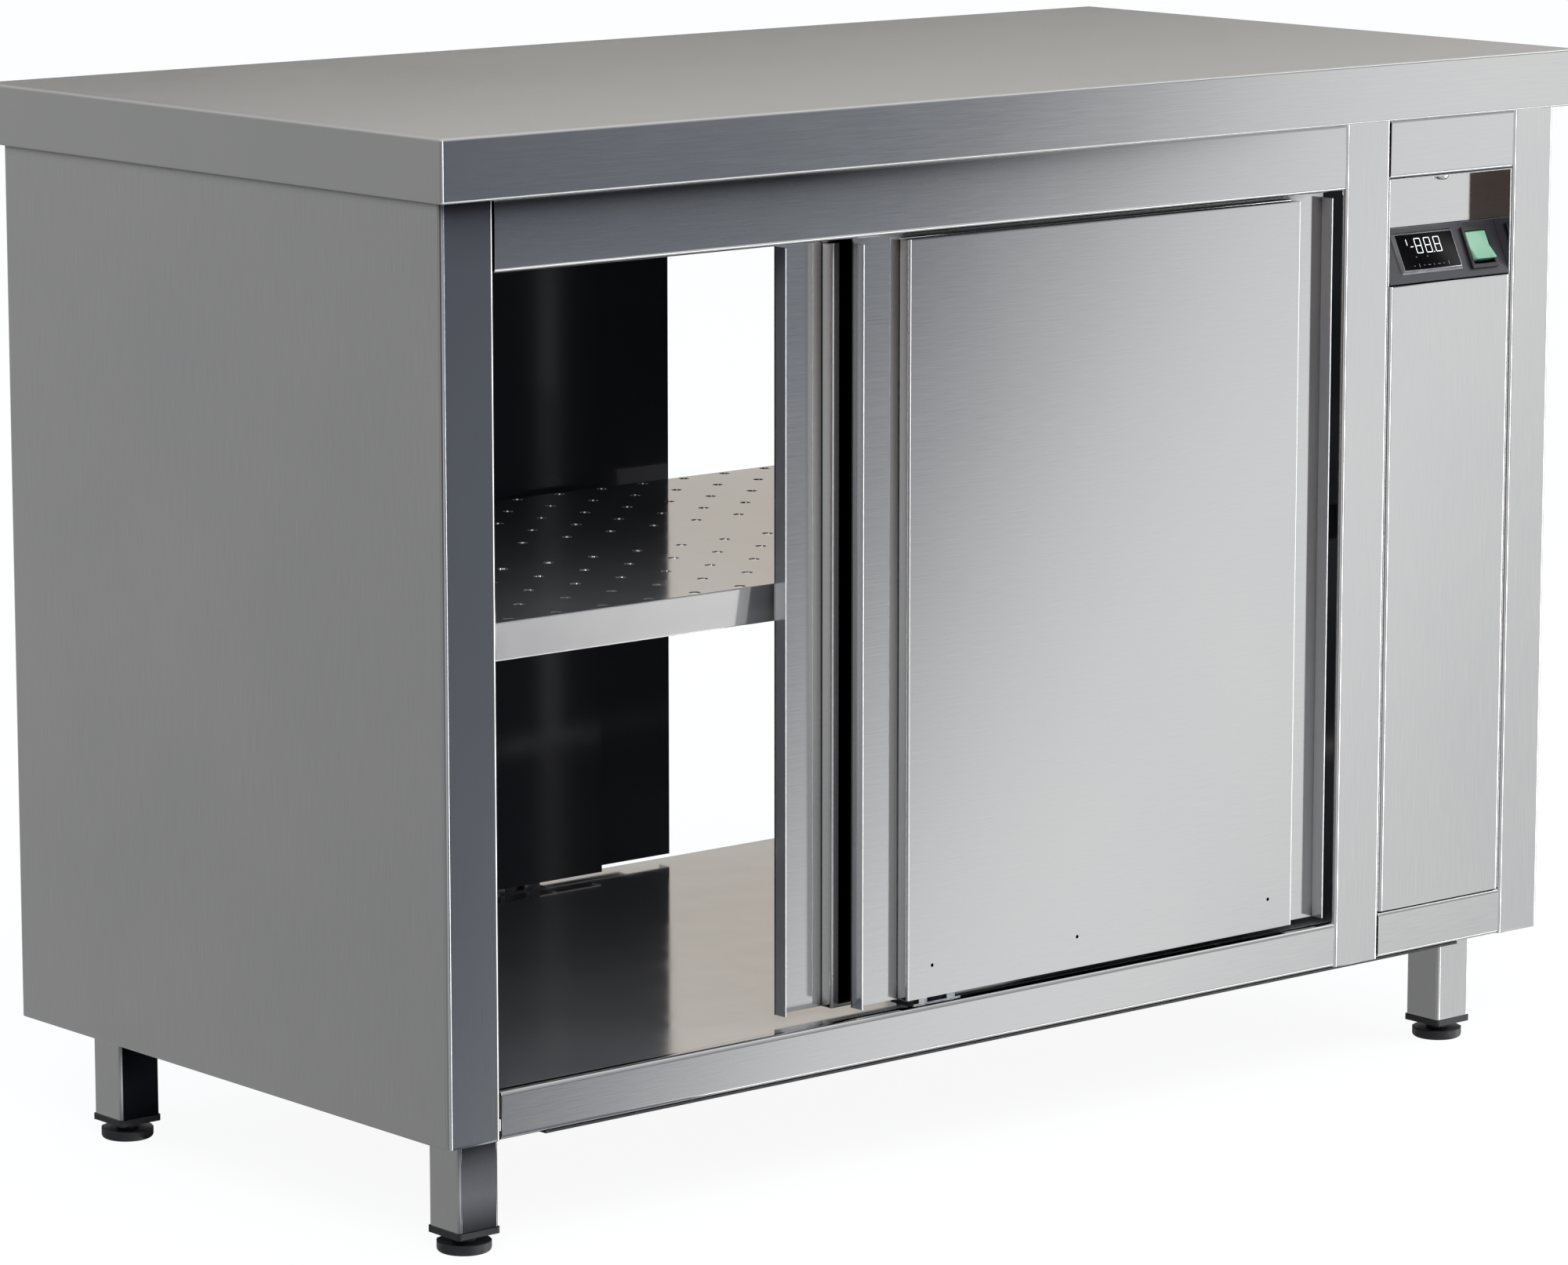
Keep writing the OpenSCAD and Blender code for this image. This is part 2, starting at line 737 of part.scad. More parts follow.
module shelf_brackets() color("#8c8f92") {
    bracket_l = shelf_d - 2 * bracket_inset;
    bracket_z1 = shelf_z - shelf_edge_h;
    for (side = [0, 1])
        translate([side == 0 ? open_x0 : open_x1, -bracket_l / 2, bracket_z1])
            mirror([side, 0, 0]) {
                translate([0, 0, -bracket_t]) cube([bracket_w, bracket_l, bracket_t]);
                translate([0, 0, -bracket_w]) cube([bracket_t, bracket_l, bracket_w]);
            }
}

module fan_guard() color("#8c8f92") {
    inner_w = guard_w - 2 * sheet;
    difference() {
        translate([open_x1 - guard_d, -guard_w / 2, fan_z - guard_w / 2]) cube([guard_d, guard_w, guard_w]);
        translate([open_x1 - guard_d + sheet, -inner_w / 2, fan_z - inner_w / 2])
            cube([guard_d + overrun, inner_w, inner_w]);
        for (i = [0 : intake_count - 1])
            translate([0, 0, fan_z])
                rotate([i * 360 / intake_count, 0, 0])
                    translate([0, intake_ring_d / 2, 0])
                        rod_x(open_x1 - guard_d - overrun, sheet + 2 * overrun, intake_d);
        translate([0, 0, fan_z]) rod_x(open_x1 - guard_d - overrun, sheet + 2 * overrun, intake_d);
        for (side = [-1, 1], level = [-1, 1])
            translate([
                open_x1 - guard_d / 2, side * guard_w / 2, fan_z + level * (outlet_gap + outlet_w / 2)
            ])
                cube([outlet_h, 3 * sheet, outlet_w], center = true);
    }
}

module heating_ring() color("#5a5552") {
    ring_x = open_x1 - ring_gap;
    translate([ring_x, 0, fan_z])
        rotate([0, 90, 0])
            rotate_extrude() translate([ring_d / 2, 0]) circle(d = ring_tube_d);
    heating_leads(ring_x, bay_x0 + lead_tail - ring_x, ring_tube_d);
}

module fan_motor() color("#4c4f54") {
    translate([0, 0, fan_z])
        difference() {
            union() {
                translate([bay_x0, -motor_flange_w / 2, -motor_flange_w / 2])
                    cube([motor_flange_t, motor_flange_w, motor_flange_w]);
                rod_x(bay_x0, motor_l, motor_d);
            }
            rod_x(bay_x0 - overrun, motor_l + 2 * overrun, shaft_d + 2 * axle_clear);
        }
}

module fan_wheel() color("#a8abaf") {
    disc_x = open_x1 - wheel_gap - wheel_t;
    hub_x = disc_x + wheel_t - hub_l;
    translate([0, 0, fan_z]) {
        rod_x(disc_x, wheel_t, fan_d);
        rod_x(hub_x, hub_l, hub_d);
        rod_x(hub_x - shaft_nose, bay_x0 + motor_l + shaft_tail - hub_x + shaft_nose, shaft_d);
        for (i = [0 : blade_count - 1])
            rotate([i * 360 / blade_count, 0, 0])
                translate([disc_x - blade_h, hub_d / 2 - blade_t, -blade_t / 2])
                    cube([blade_h + wheel_t, (fan_d - hub_d) / 2, blade_t]);
    }
}

module temperature_probe() color("#b0b2b5") {
    translate([0, probe_y, probe_z]) {
        rod_x(open_x1 - probe_reach, probe_reach + mid_stile_w + probe_tail, probe_d);
        rod_x(open_x1 - probe_bush_t, probe_bush_t, probe_bush_d);
        rod_x(bay_x0, probe_bush_t, probe_bush_d);
    }
}

module terminal_block() color("#d9d4c4") {
    slots = floor(term_size[0] / term_pitch);
    translate([bay_mid - term_size[0] / 2, term_y, plate_z0 + plate_t])
        difference() {
            cube(term_size);
            for (i = [0 : slots - 1])
                translate([(i + 0.5) * term_pitch - term_slot / 2, -overrun, term_size[2] - term_slot])
                    cube([term_slot, term_slot + overrun, term_slot + overrun]);
        }
}

// The back sheet of a door, which reaches up behind the top rail to hang it
module door_back() color("#8f9296") {
    translate([0, panel_depth, door_z0]) cube([door_w, sheet, hanger_z1 - door_z0]);
}

// What is welded to the back sheet of a door: two edge flanges and two roller axles
module door_fittings() color("#8f9296") {
    for (x = [0, door_w - sheet])
        translate([x, 0, door_z0]) cube([sheet, panel_depth, door_z1 - door_z0]);
    for (share = roller_shares)
        translate([share * door_w, door_t, roller_z])
            rotate([-90, 0, 0]) cylinder(h = axle_len, d = axle_d);
}

// The face panel of a door: a tray that opens downwards on to the guide pegs
module door_panel() color("#b4b6ba") {
    panel_h = door_z1 - door_z0;
    translate([pull_w, 0, door_z0])
        difference() {
            linear_extrude(panel_h)
                intersection() {
                    rounded_rect(panel_w, panel_depth + bend_r, bend_r / 2);
                    square([panel_w, panel_depth]);
                }
            translate([sheet, sheet, -overrun])
                cube([panel_w - 2 * sheet, panel_depth, panel_h - sheet + overrun]);
            for (share = vent_shares)
                translate([share * panel_w, -overrun, vent_rise])
                    rotate([-90, 0, 0]) cylinder(h = sheet + 2 * overrun, d = vent_d);
        }
}

// A grooved roller on its axle
module door_roller(index) color("#e4e2dc") {
    translate([roller_shares[index] * door_w, roller_v, roller_z])
        rotate([-90, 0, 0])
            difference() {
                translate([0, 0, -roller_w / 2]) cylinder(h = roller_w, d = roller_d);
                difference() {
                    translate([0, 0, -groove_w / 2]) cylinder(h = groove_w, d = roller_d + overrun);
                    translate([0, 0, -groove_w / 2 - overrun])
                        cylinder(h = groove_w + 2 * overrun, d = groove_d);
                }
                translate([0, 0, -roller_w / 2 - overrun])
                    cylinder(h = roller_w + 2 * overrun, d = axle_d + 2 * axle_clear);
            }
}

// A levelling foot: disc, neck and stem
module level_foot(column, row) color("#141416") {
    translate([leg_xs[column] + leg_w / 2, leg_ys[row] + leg_w / 2, 0]) {
        rotate_extrude() {
            square([foot_d / 2 - foot_r, foot_h]);
            translate([0, foot_r]) square([foot_d / 2, foot_h - foot_r]);
            translate([foot_d / 2 - foot_r, foot_r]) intersection() {
                circle(r = foot_r);
                translate([0, -foot_r]) square(foot_r);
            }
        }
        cylinder(h = leg_bottom_z - cap_h, d = neck_d);
        cylinder(h = stem_top_z, d = stem_d);
    }
}

module front_outer_back() place_door(front_outer) door_back();
module front_outer_panel() place_door(front_outer) door_panel();
module front_outer_fittings() place_door(front_outer) door_fittings();
module front_outer_roller_a() place_door(front_outer) door_roller(0);
module front_outer_roller_b() place_door(front_outer) door_roller(1);
module front_inner_back() place_door(front_inner) door_back();
module front_inner_panel() place_door(front_inner) door_panel();
module front_inner_fittings() place_door(front_inner) door_fittings();
module front_inner_roller_a() place_door(front_inner) door_roller(0);
module front_inner_roller_b() place_door(front_inner) door_roller(1);
module rear_outer_back() place_door(rear_outer) door_back();
module rear_outer_panel() place_door(rear_outer) door_panel();
module rear_outer_fittings() place_door(rear_outer) door_fittings();
module rear_outer_roller_a() place_door(rear_outer) door_roller(0);
module rear_outer_roller_b() place_door(rear_outer) door_roller(1);
module rear_inner_back() place_door(rear_inner) door_back();
module rear_inner_panel() place_door(rear_inner) door_panel();
module rear_inner_fittings() place_door(rear_inner) door_fittings();
module rear_inner_roller_a() place_door(rear_inner) door_roller(0);
module rear_inner_roller_b() place_door(rear_inner) door_roller(1);
module front_left_foot() level_foot(0, 0);
module front_right_foot() level_foot(1, 0);
module rear_left_foot() level_foot(0, 1);
module rear_right_foot() level_foot(1, 1);

worktop_skin();
worktop_bearers();
left_side_panel();
right_side_panel();
partition_casing();
left_lining();
ceiling_panel();
floor_panel();
insulation();
top_rails();
bottom_rails();
base_pan();
leg_plates();
legs();
leg_inserts();
header_panel();
control_recess();
console_plate();
controller();
switch_body();
service_cover();
kick_panel();
rear_service_panel();
cable_gland();
header_screw();
door_tracks();
floor_guides();
shelf();
shelf_brackets();
fan_guard();
heating_ring();
fan_motor();
temperature_probe();
terminal_block();
front_outer_back();
front_outer_panel();
front_outer_fittings();
front_inner_back();
front_inner_panel();
front_inner_fittings();
rear_outer_back();
rear_outer_panel();
rear_outer_fittings();
rear_inner_back();
rear_inner_panel();
rear_inner_fittings();
front_outer_roller_a();
front_outer_roller_b();
front_inner_roller_a();
front_inner_roller_b();
rear_outer_roller_a();
rear_outer_roller_b();
rear_inner_roller_a();
rear_inner_roller_b();
front_left_foot();
front_right_foot();
rear_left_foot();
rear_right_foot();
switch_rocker();
fan_wheel();
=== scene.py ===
import json
from math import radians

import bmesh
import bpy
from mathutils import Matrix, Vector


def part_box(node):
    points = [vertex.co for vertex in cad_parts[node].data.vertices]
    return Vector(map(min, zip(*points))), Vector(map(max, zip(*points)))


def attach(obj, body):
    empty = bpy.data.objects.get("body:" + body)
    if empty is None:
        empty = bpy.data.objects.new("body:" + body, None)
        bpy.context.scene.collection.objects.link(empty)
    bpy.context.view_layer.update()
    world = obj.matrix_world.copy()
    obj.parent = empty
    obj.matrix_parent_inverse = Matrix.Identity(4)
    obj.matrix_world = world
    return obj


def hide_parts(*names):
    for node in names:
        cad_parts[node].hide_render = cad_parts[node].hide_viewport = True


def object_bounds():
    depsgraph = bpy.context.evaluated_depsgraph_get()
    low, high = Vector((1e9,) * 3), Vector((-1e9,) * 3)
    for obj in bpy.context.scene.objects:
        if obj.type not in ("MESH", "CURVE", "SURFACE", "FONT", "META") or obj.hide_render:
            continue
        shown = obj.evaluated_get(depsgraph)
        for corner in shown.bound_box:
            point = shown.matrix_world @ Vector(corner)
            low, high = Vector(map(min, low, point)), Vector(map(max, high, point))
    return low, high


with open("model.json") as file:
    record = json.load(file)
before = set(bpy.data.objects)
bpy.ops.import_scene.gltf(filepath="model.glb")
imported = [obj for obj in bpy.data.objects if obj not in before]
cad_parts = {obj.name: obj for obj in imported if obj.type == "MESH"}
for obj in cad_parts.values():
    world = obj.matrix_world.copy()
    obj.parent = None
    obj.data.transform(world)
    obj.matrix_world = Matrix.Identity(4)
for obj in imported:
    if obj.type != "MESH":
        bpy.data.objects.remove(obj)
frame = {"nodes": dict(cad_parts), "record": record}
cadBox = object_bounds()
mm = 0.001
nodes = frame["nodes"]
bodyOf = {n: body for body, members in frame["record"]["behaviour"]["bodies"].items() for n in members}
slotOf = {row["node"]: row["material_slot"] for row in frame["record"]["subparts"]}
print("frame loaded:", len(nodes), "nodes")

# Camera, at the photograph's viewing angle
cameraView = {
    "place": (-3.3688, -3.9375, 1.2997),
    "turn": (79.930, 0, -40.380),
    "lens": 145.70,
    "farEnd": 100,
}
bpy.ops.object.camera_add(location=cameraView["place"], rotation=[radians(a) for a in cameraView["turn"]])
camera = bpy.context.object
camera.data.lens = cameraView["lens"]
camera.data.clip_end = cameraView["farEnd"]
bpy.context.scene.camera = camera
bpy.context.scene.view_settings.view_transform = "Standard"
print("camera set")


# sRGB hex text to the linear colour that a socket takes
def hexColour(text):
    parts = [int(text[i:i + 2], 16) / 255 for i in (1, 3, 5)]
    return [c / 12.92 if c <= 0.04045 else ((c + 0.055) / 1.055) ** 2.4 for c in parts] + [1]


# Adds one node with its settings, its socket values and the links into it
def addNode(tree, kind, values=None, links=None, **settings):
    node = tree.nodes.new("ShaderNode" + kind)
    for name, value in settings.items():
        setattr(node, name, value)
    for socket, value in (values or {}).items():
        node.inputs[socket].default_value = value
    for socket, source in (links or {}).items():
        tree.links.new(source, node.inputs[socket])
    return node


# The stops of a colour ramp, as (place, hex) pairs
def setStops(ramp, stops):
    while len(ramp.color_ramp.elements) < len(stops):
        ramp.color_ramp.elements.new(1)
    for element, (place, colour) in zip(ramp.color_ramp.elements, stops):
        element.position = place
        element.color = hexColour(colour)


# A new material with its shader, its Object coordinates and the values that are the same all over
def startMaterial(name, **values):
    material = bpy.data.materials.new(name)
    material.use_nodes = True
    tree = material.node_tree
    shader = tree.nodes["Principled BSDF"]
    for socket, value in values.items():
        shader.inputs[socket.replace("_", " ")].default_value = value
    place = addNode(tree, "TexCoord").outputs["Object"]
    return material, tree, shader, place


# Studio: white to the camera, and round the metal two rings of screens, one low and one high
studio = {
    "low": [  # round the compass, for upright faces: 0 is left, 0.25 front, 0.5 right, 0.75 back
        (0.000, "#a4a4a4"), (0.050, "#8e8a86"), (0.080, "#5c5049"), (0.122, "#5a4d45"), (0.1365, "#68625c"),
        (0.140, "#b4aeaa"), (0.143, "#ececec"), (0.149, "#e4e4e4"), (0.200, "#d0d0d0"), (0.250, "#bcbec1"),
        (0.325, "#454a52"), (0.345, "#4a4f58"), (0.3553, "#70747d"), (0.360, "#7b7f86"), (0.365, "#80848a"),
        (0.3685, "#84878c"), (0.370, "#9c9ea1"), (0.3725, "#d5d5d7"), (0.375, "#f0f0f0"), (0.3785, "#fcfcfc"),
        (0.382, "#ffffff"), (0.388, "#e2e2e2"), (0.520, "#e2e2e2"), (0.595, "#dadada"),
        (0.617, "#cecece"), (0.637, "#a2a2a3"), (0.660, "#929294"), (0.700, "#a4a4a4"), (0.760, "#c6c5c4"),
        (0.845, "#a0a0a0"), (0.890, "#888888"), (1.000, "#a4a4a4"),
    ],
    "high": [  # for level faces
        (0.000, "#b0afae"), (0.250, "#b4b4b4"), (0.500, "#bebcba"), (0.575, "#cac4bc"), (0.602, "#d0d0d0"),
        (0.6126, "#acabaa"), (0.6175, "#76726d"), (0.6247, "#686660"), (0.700, "#9a9896"), (0.760, "#b0afae"),
    ],
    # each ring leans between two heights: a front is lighter at its foot and the worktop darker far off
    "lowLean": (-0.30, -0.087, 0.017, 0),
    "highLean": (0.07, 0.11, 0, -0.064),
    "horizon": (-0.03, 0.03),  # heights between which the low ring passes into the high one
    # narrow lights that draw the folds as fine bright lines, and one more lying in front of the foot
    "strips": [(0.3125, 0.014), (0.4375, 0.02)],
    "stripLevel": 6,
    "footStrip": {"height": -0.59, "half": 0.03, "place": 0.4, "reach": 0.15, "level": 4},
    # a plain grey part of the low ring, at the front left
    "apron": {"place": 0.095, "half": 0.045, "start": -0.15, "full": -0.21, "colour": "#9c9c9c"},
    # heights where each starts and is full, and its brightness in front and behind
    "ceiling": (0.30, 0.75, 0.79, 0.79),
    "ground": (-0.28, -0.5, 0.6, 0.32),
    "behind": (0.54, 0.62),  # where the front passes into the back, round the compass
    "plainLight": "#bac7dd",  # what everything but metal and glass is lit by
}
world = bpy.data.worlds.new("paleStudio")
bpy.context.scene.world = world
world.use_nodes = True
tree = world.node_tree
tree.nodes.clear()
ray = addNode(tree, "LightPath")
look = addNode(tree, "TexCoord").outputs["Generated"]
height = addNode(tree, "SeparateXYZ", links={0: look}).outputs["Z"]
compass = addNode(tree, "TexGradient", links={0: look}, gradient_type="RADIAL").outputs["Fac"]
# In a colour Mix, sockets 6 and 7 are the two colours and output 2 is the result
rings = []
for name in ("low", "high"):
    lean = addNode(tree, "MapRange", dict(enumerate(studio[name + "Lean"], 1)), {0: height})
    leaning = addNode(tree, "Math", links={0: compass, 1: lean.outputs[0]}, operation="ADD")
    rings.append(addNode(tree, "ValToRGB", links={0: leaning.outputs[0]}))
    setStops(rings[-1], studio[name])
above = addNode(tree, "MapRange", dict(enumerate(studio["horizon"], 1)), {0: height})
room = addNode(tree, "Mix", links={0: above.outputs[0], 6: rings[0].outputs[0], 7: rings[1].outputs[0]},
               data_type="RGBA").outputs[2]
apron = studio["apron"]
ahead = addNode(tree, "Math", {1: apron["place"], 2: apron["half"]}, {0: compass}, operation="COMPARE")
below = addNode(tree, "MapRange", {1: apron["start"], 2: apron["full"]}, {0: height})
share = addNode(tree, "Math", links={0: ahead.outputs[0], 1: below.outputs[0]}, operation="MULTIPLY")
room = addNode(tree, "Mix", {7: hexColour(apron["colour"])}, {0: share.outputs[0], 6: room},
               data_type="RGBA").outputs[2]
for place, half in studio["strips"]:
    strip = addNode(tree, "Math", {1: place, 2: half}, {0: compass}, operation="COMPARE")
    room = addNode(tree, "Mix", {7: [studio["stripLevel"]] * 3 + [1]}, {0: strip.outputs[0], 6: room},
                   data_type="RGBA").outputs[2]
for name in ("ceiling", "ground"):
    start, full, front, back = studio[name]
    beyond = addNode(tree, "MapRange", {1: start, 2: full}, {0: height}, interpolation_type="SMOOTHSTEP")
    level = addNode(tree, "MapRange", dict(enumerate((*studio["behind"], front, back), 1)), {0: compass})
    room = addNode(tree, "Mix", links={0: beyond.outputs[0], 6: room, 7: level.outputs[0]},
                   data_type="RGBA").outputs[2]
foot = studio["footStrip"]
footBand = addNode(tree, "Math", {1: foot["height"], 2: foot["half"]}, {0: height}, operation="COMPARE")
ahead = addNode(tree, "Math", {1: foot["place"], 2: foot["reach"]}, {0: compass}, operation="COMPARE")
strip = addNode(tree, "Math", links={0: footBand.outputs[0], 1: ahead.outputs[0]}, operation="MULTIPLY")
room = addNode(tree, "Mix", {7: [foot["level"]] * 3 + [1]}, {0: strip.outputs[0], 6: room},
               data_type="RGBA").outputs[2]
mirrored = addNode(tree, "Math", operation="MAXIMUM",
                   links={0: ray.outputs["Is Glossy Ray"], 1: ray.outputs["Is Transmission Ray"]})
lit = addNode(tree, "Mix", {6: hexColour(studio["plainLight"])}, {0: mirrored.outputs[0], 7: room},
              data_type="RGBA")
seen = addNode(tree, "Mix", {7: [1, 1, 1, 1]}, {0: ray.outputs["Is Camera Ray"], 6: lit.outputs[2]},
               data_type="RGBA")
backdrop = addNode(tree, "Background", {"Strength": 1}, {"Color": seen.outputs[2]})
addNode(tree, "OutputWorld", links={"Surface": backdrop.outputs[0]})

# Lamps: one large soft key and a weaker fill, both out of the metal's reflections
lamps = {
    "keyLamp": {"place": (-2.6, -3.0, 3.4), "turn": (42, 0, -40), "size": 2.4, "watts": 95},
    "fillLamp": {"place": (3.2, -2.6, 2.4), "turn": (55, 0, 50), "size": 2.2, "watts": 45},
}
for lampName, values in lamps.items():
    bpy.ops.object.light_add(type="AREA", location=values["place"],
                             rotation=[radians(a) for a in values["turn"]])
    lamp = bpy.context.object
    lamp.name = lampName
    lamp.data.size = values["size"]
    lamp.data.energy = values["watts"]
    lamp.visible_glossy = False

# Floor: pale paper that keeps a faint shadow
paperFloor = {"width": 24, "seenShade": "#5c5c5c", "seenGlow": 0.93, "bounce": "#c8c8c8"}
bpy.ops.object.select_all(action="DESELECT")
bpy.ops.mesh.primitive_plane_add(size=paperFloor["width"], location=(0, 0, cadBox[0][2]))
floor = bpy.context.object
floor.name = "paperFloor"
floor.visible_glossy = False
paper = bpy.data.materials.new("mattPaperFloor")
paper.use_nodes = True
tree = paper.node_tree
tree.nodes.clear()
ray = addNode(tree, "LightPath")
bounce = addNode(tree, "BsdfDiffuse", {"Color": hexColour(paperFloor["bounce"])})
shade = addNode(tree, "BsdfDiffuse", {"Color": hexColour(paperFloor["seenShade"])})
glow = addNode(tree, "Emission", {"Strength": paperFloor["seenGlow"]})
shown = addNode(tree, "AddShader", links={0: shade.outputs[0], 1: glow.outputs[0]})
both = addNode(tree, "MixShader",
               links={0: ray.outputs["Is Camera Ray"], 1: bounce.outputs[0], 2: shown.outputs[0]})
addNode(tree, "OutputMaterial", links={"Surface": both.outputs[0]})
floor.data.materials.append(paper)

# Painted shadow: grey cards on the floor under the cupboard and by its front leg, which only the metal's
# reflections see
floorShade = {
    "underShade": {"place": (-0.20, 0), "width": 0.68, "depth": 0.50, "lift": 0.001, "colour": "#5a5a5e"},
    "legShade": {"place": (-0.385, -0.415), "width": 0.27, "depth": 0.23, "lift": 0.001, "colour": "#949290"},
}
for shadeName, values in floorShade.items():
    shadowPaint = bpy.data.materials.new("feltGrey" + shadeName.capitalize())
    shadowPaint.use_nodes = True
    shadowPaint.node_tree.nodes.clear()
    shadowTone = addNode(shadowPaint.node_tree, "BsdfDiffuse", {"Color": hexColour(values["colour"])})
    addNode(shadowPaint.node_tree, "OutputMaterial", links={"Surface": shadowTone.outputs[0]})
    bpy.ops.mesh.primitive_plane_add(size=1, location=(*values["place"], values["lift"]))
    shadeCard = bpy.context.object
    shadeCard.name = shadeName
    shadeCard.scale = (values["width"], values["depth"], 1)
    bpy.ops.object.transform_apply(location=True, rotation=False, scale=True)
    shadeCard.visible_camera = False
    shadeCard.visible_diffuse = False
    shadeCard.visible_shadow = False
    shadeCard.data.materials.append(shadowPaint)
print("studio set")


noiseSpan = (0.3, 0.7)  # most of a noise lies between these
noiseDetail = {"streak": 4, "cloud": 2, "ripple": 1, "haze": 4, "grain": 3, "patch": 2}
streakBreak = 0.6  # how far a streak breaks up into finer ones


# Colour and roughness that follow a pattern, each between two values
def followPattern(tree, values, pattern, span=noiseSpan):
    tone = addNode(tree, "ValToRGB", links={0: pattern})
    setStops(tone, list(zip(span, (values["dark"], values["light"]))))
    ends = (*span, values["smooth"], values["rough"])
    matt = addNode(tree, "MapRange", dict(enumerate(ends, 1)), {0: pattern})
    return tone.outputs[0], matt.outputs[0]


# Links what a finish is made of into its shader
def linkShader(tree, shader, **sources):
    for socket, source in sources.items():
        tree.links.new(source, shader.inputs[socket.replace("_", " ")])


# Stainless sheet, brushed along one way: streaks run with the grain, and reflections smear across it.
# Faces along the axes in slotFaces are darkened with painted shade where little of their surroundings is open
# to them, as under an overhang or in a slot, up to a place along X. One side, to the rear (1) or to the front
# (-1), takes a darker colour and its own metal share: painted shade on the side that lies in shade.
def brushedStainless(name, grain, values, shadedFace=0):
    material, tree, shader, place = startMaterial(name, Metallic=values["metal"])
    across = 1 / (values["streakMm"] * mm)
    along = 1 / (values["runMm"] * mm)
    stretch = addNode(tree, "Mapping", {"Scale": [along if axis == grain else across for axis in "XYZ"]},
                      {"Vector": place})
    streaks = addNode(tree, "TexNoise",
                      {"Scale": 1, "Detail": noiseDetail["streak"], "Roughness": streakBreak},
                      {"Vector": stretch.outputs[0]})
    cloud = addNode(tree, "TexNoise", {"Scale": 1 / (values["cloudMm"] * mm), "Detail": noiseDetail["cloud"]},
                    {"Vector": place})
    mixed = addNode(tree, "Mix", {0: values["cloudShare"]},
                    {2: streaks.outputs["Fac"], 3: cloud.outputs["Fac"]})
    colour, matt = followPattern(tree, values, mixed.outputs[0])
    grooves = addNode(tree, "Bump", {"Strength": 1, "Distance": values["grooveMm"] * mm},
                      {"Height": streaks.outputs["Fac"]})
    facing = addNode(tree, "SeparateXYZ", links={0: addNode(tree, "NewGeometry").outputs["Normal"]})
    # painted shade: faces turned to the shaded side take a darker colour and their own metal share
    if shadedFace:
        shadedShare = addNode(tree, "Math", {1: shadedFace}, {0: facing.outputs["Y"]},
                         operation="MULTIPLY", use_clamp=True)
        colour = addNode(tree, "Mix", {7: hexColour(values["dull"])}, {0: shadedShare.outputs[0], 6: colour},
                         data_type="RGBA").outputs[2]
        metal = addNode(tree, "MapRange", {3: values["metal"], 4: values["dullMetal"]},
                        {0: shadedShare.outputs[0]})
        linkShader(tree, shader, Metallic=metal.outputs[0])
    # painted shade: ambient occlusion darkens faces in slots and under overhangs, fading out along X
    if values["slotMm"]:
        openness = addNode(tree, "AmbientOcclusion", {"Distance": values["slotMm"] * mm},
                           samples=values["slotSamples"])
        placeX = addNode(tree, "SeparateXYZ", links={0: place}).outputs["X"]
        reach = addNode(tree, "MapRange", {1: values["slotFull"] * mm, 2: values["slotEnd"] * mm, 3: 1, 4: 0},
                        {0: placeX})
        for axis, (openEnd, shutEnd) in values["slotFaces"].items():
            dark = addNode(tree, "MapRange", {1: openEnd, 2: shutEnd}, {0: openness.outputs["AO"]})
            turned = addNode(tree, "Math", links={0: facing.outputs[axis]}, operation="ABSOLUTE")
            for share in (turned, reach):
                dark = addNode(tree, "Math", links={0: dark.outputs[0], 1: share.outputs[0]},
                               operation="MULTIPLY")
            colour = addNode(tree, "Mix", {7: hexColour(values["slotTone"])}, {0: dark.outputs[0], 6: colour},
                             data_type="RGBA").outputs[2]
    linkShader(tree, shader, Base_Color=colour, Roughness=matt, Normal=grooves.outputs[0])
    return material


# Bright rolled stainless: near a mirror, with a slow ripple from the rolls and a warm cast
def brightStainless(name, values):
    material, tree, shader, place = startMaterial(name, Metallic=values["metal"])
    ripple = addNode(tree, "TexNoise",
                     {"Scale": 1 / (values["rippleMm"] * mm), "Detail": noiseDetail["ripple"]},
                     {"Vector": place})
    haze = addNode(tree, "TexNoise", {"Scale": 1 / (values["hazeMm"] * mm), "Detail": noiseDetail["haze"]},
                   {"Vector": place})
    colour, matt = followPattern(tree, values, haze.outputs["Fac"])
    waves = addNode(tree, "Bump", {"Strength": 1, "Distance": values["waveMm"] * mm},
                    {"Height": ripple.outputs["Fac"]})
    linkShader(tree, shader, Base_Color=colour, Roughness=matt, Normal=waves.outputs[0])
    return material


# Galvanised sheet: flat zinc crystals, each of its own grey
def galvanisedSheet(name, values):
    material, tree, shader, place = startMaterial(name, Metallic=1)
    spangle = addNode(tree, "TexVoronoi", {"Scale": 1 / (values["crystalMm"] * mm)}, {"Vector": place})
    colour, matt = followPattern(tree, values, spangle.outputs["Color"], (0, 1))
    linkShader(tree, shader, Base_Color=colour, Roughness=matt)
    return material


# A moulded or painted skin: two near tones in soft patches over a fine grained surface
def grainedSkin(name, values, **uniform):
    material, tree, shader, place = startMaterial(name, **uniform)
    grain = addNode(tree, "TexNoise", {"Scale": 1 / (values["grainMm"] * mm), "Detail": noiseDetail["grain"]},
                    {"Vector": place})
    patch = addNode(tree, "TexNoise", {"Scale": 1 / (values["patchMm"] * mm), "Detail": noiseDetail["patch"]},
                    {"Vector": place})
    colour, matt = followPattern(tree, values, patch.outputs["Fac"])
    skin = addNode(tree, "Bump", {"Strength": 1, "Distance": values["depthMm"] * mm},
                   {"Height": grain.outputs["Fac"]})
    linkShader(tree, shader, Base_Color=colour, Roughness=matt, Normal=skin.outputs[0])
    return material


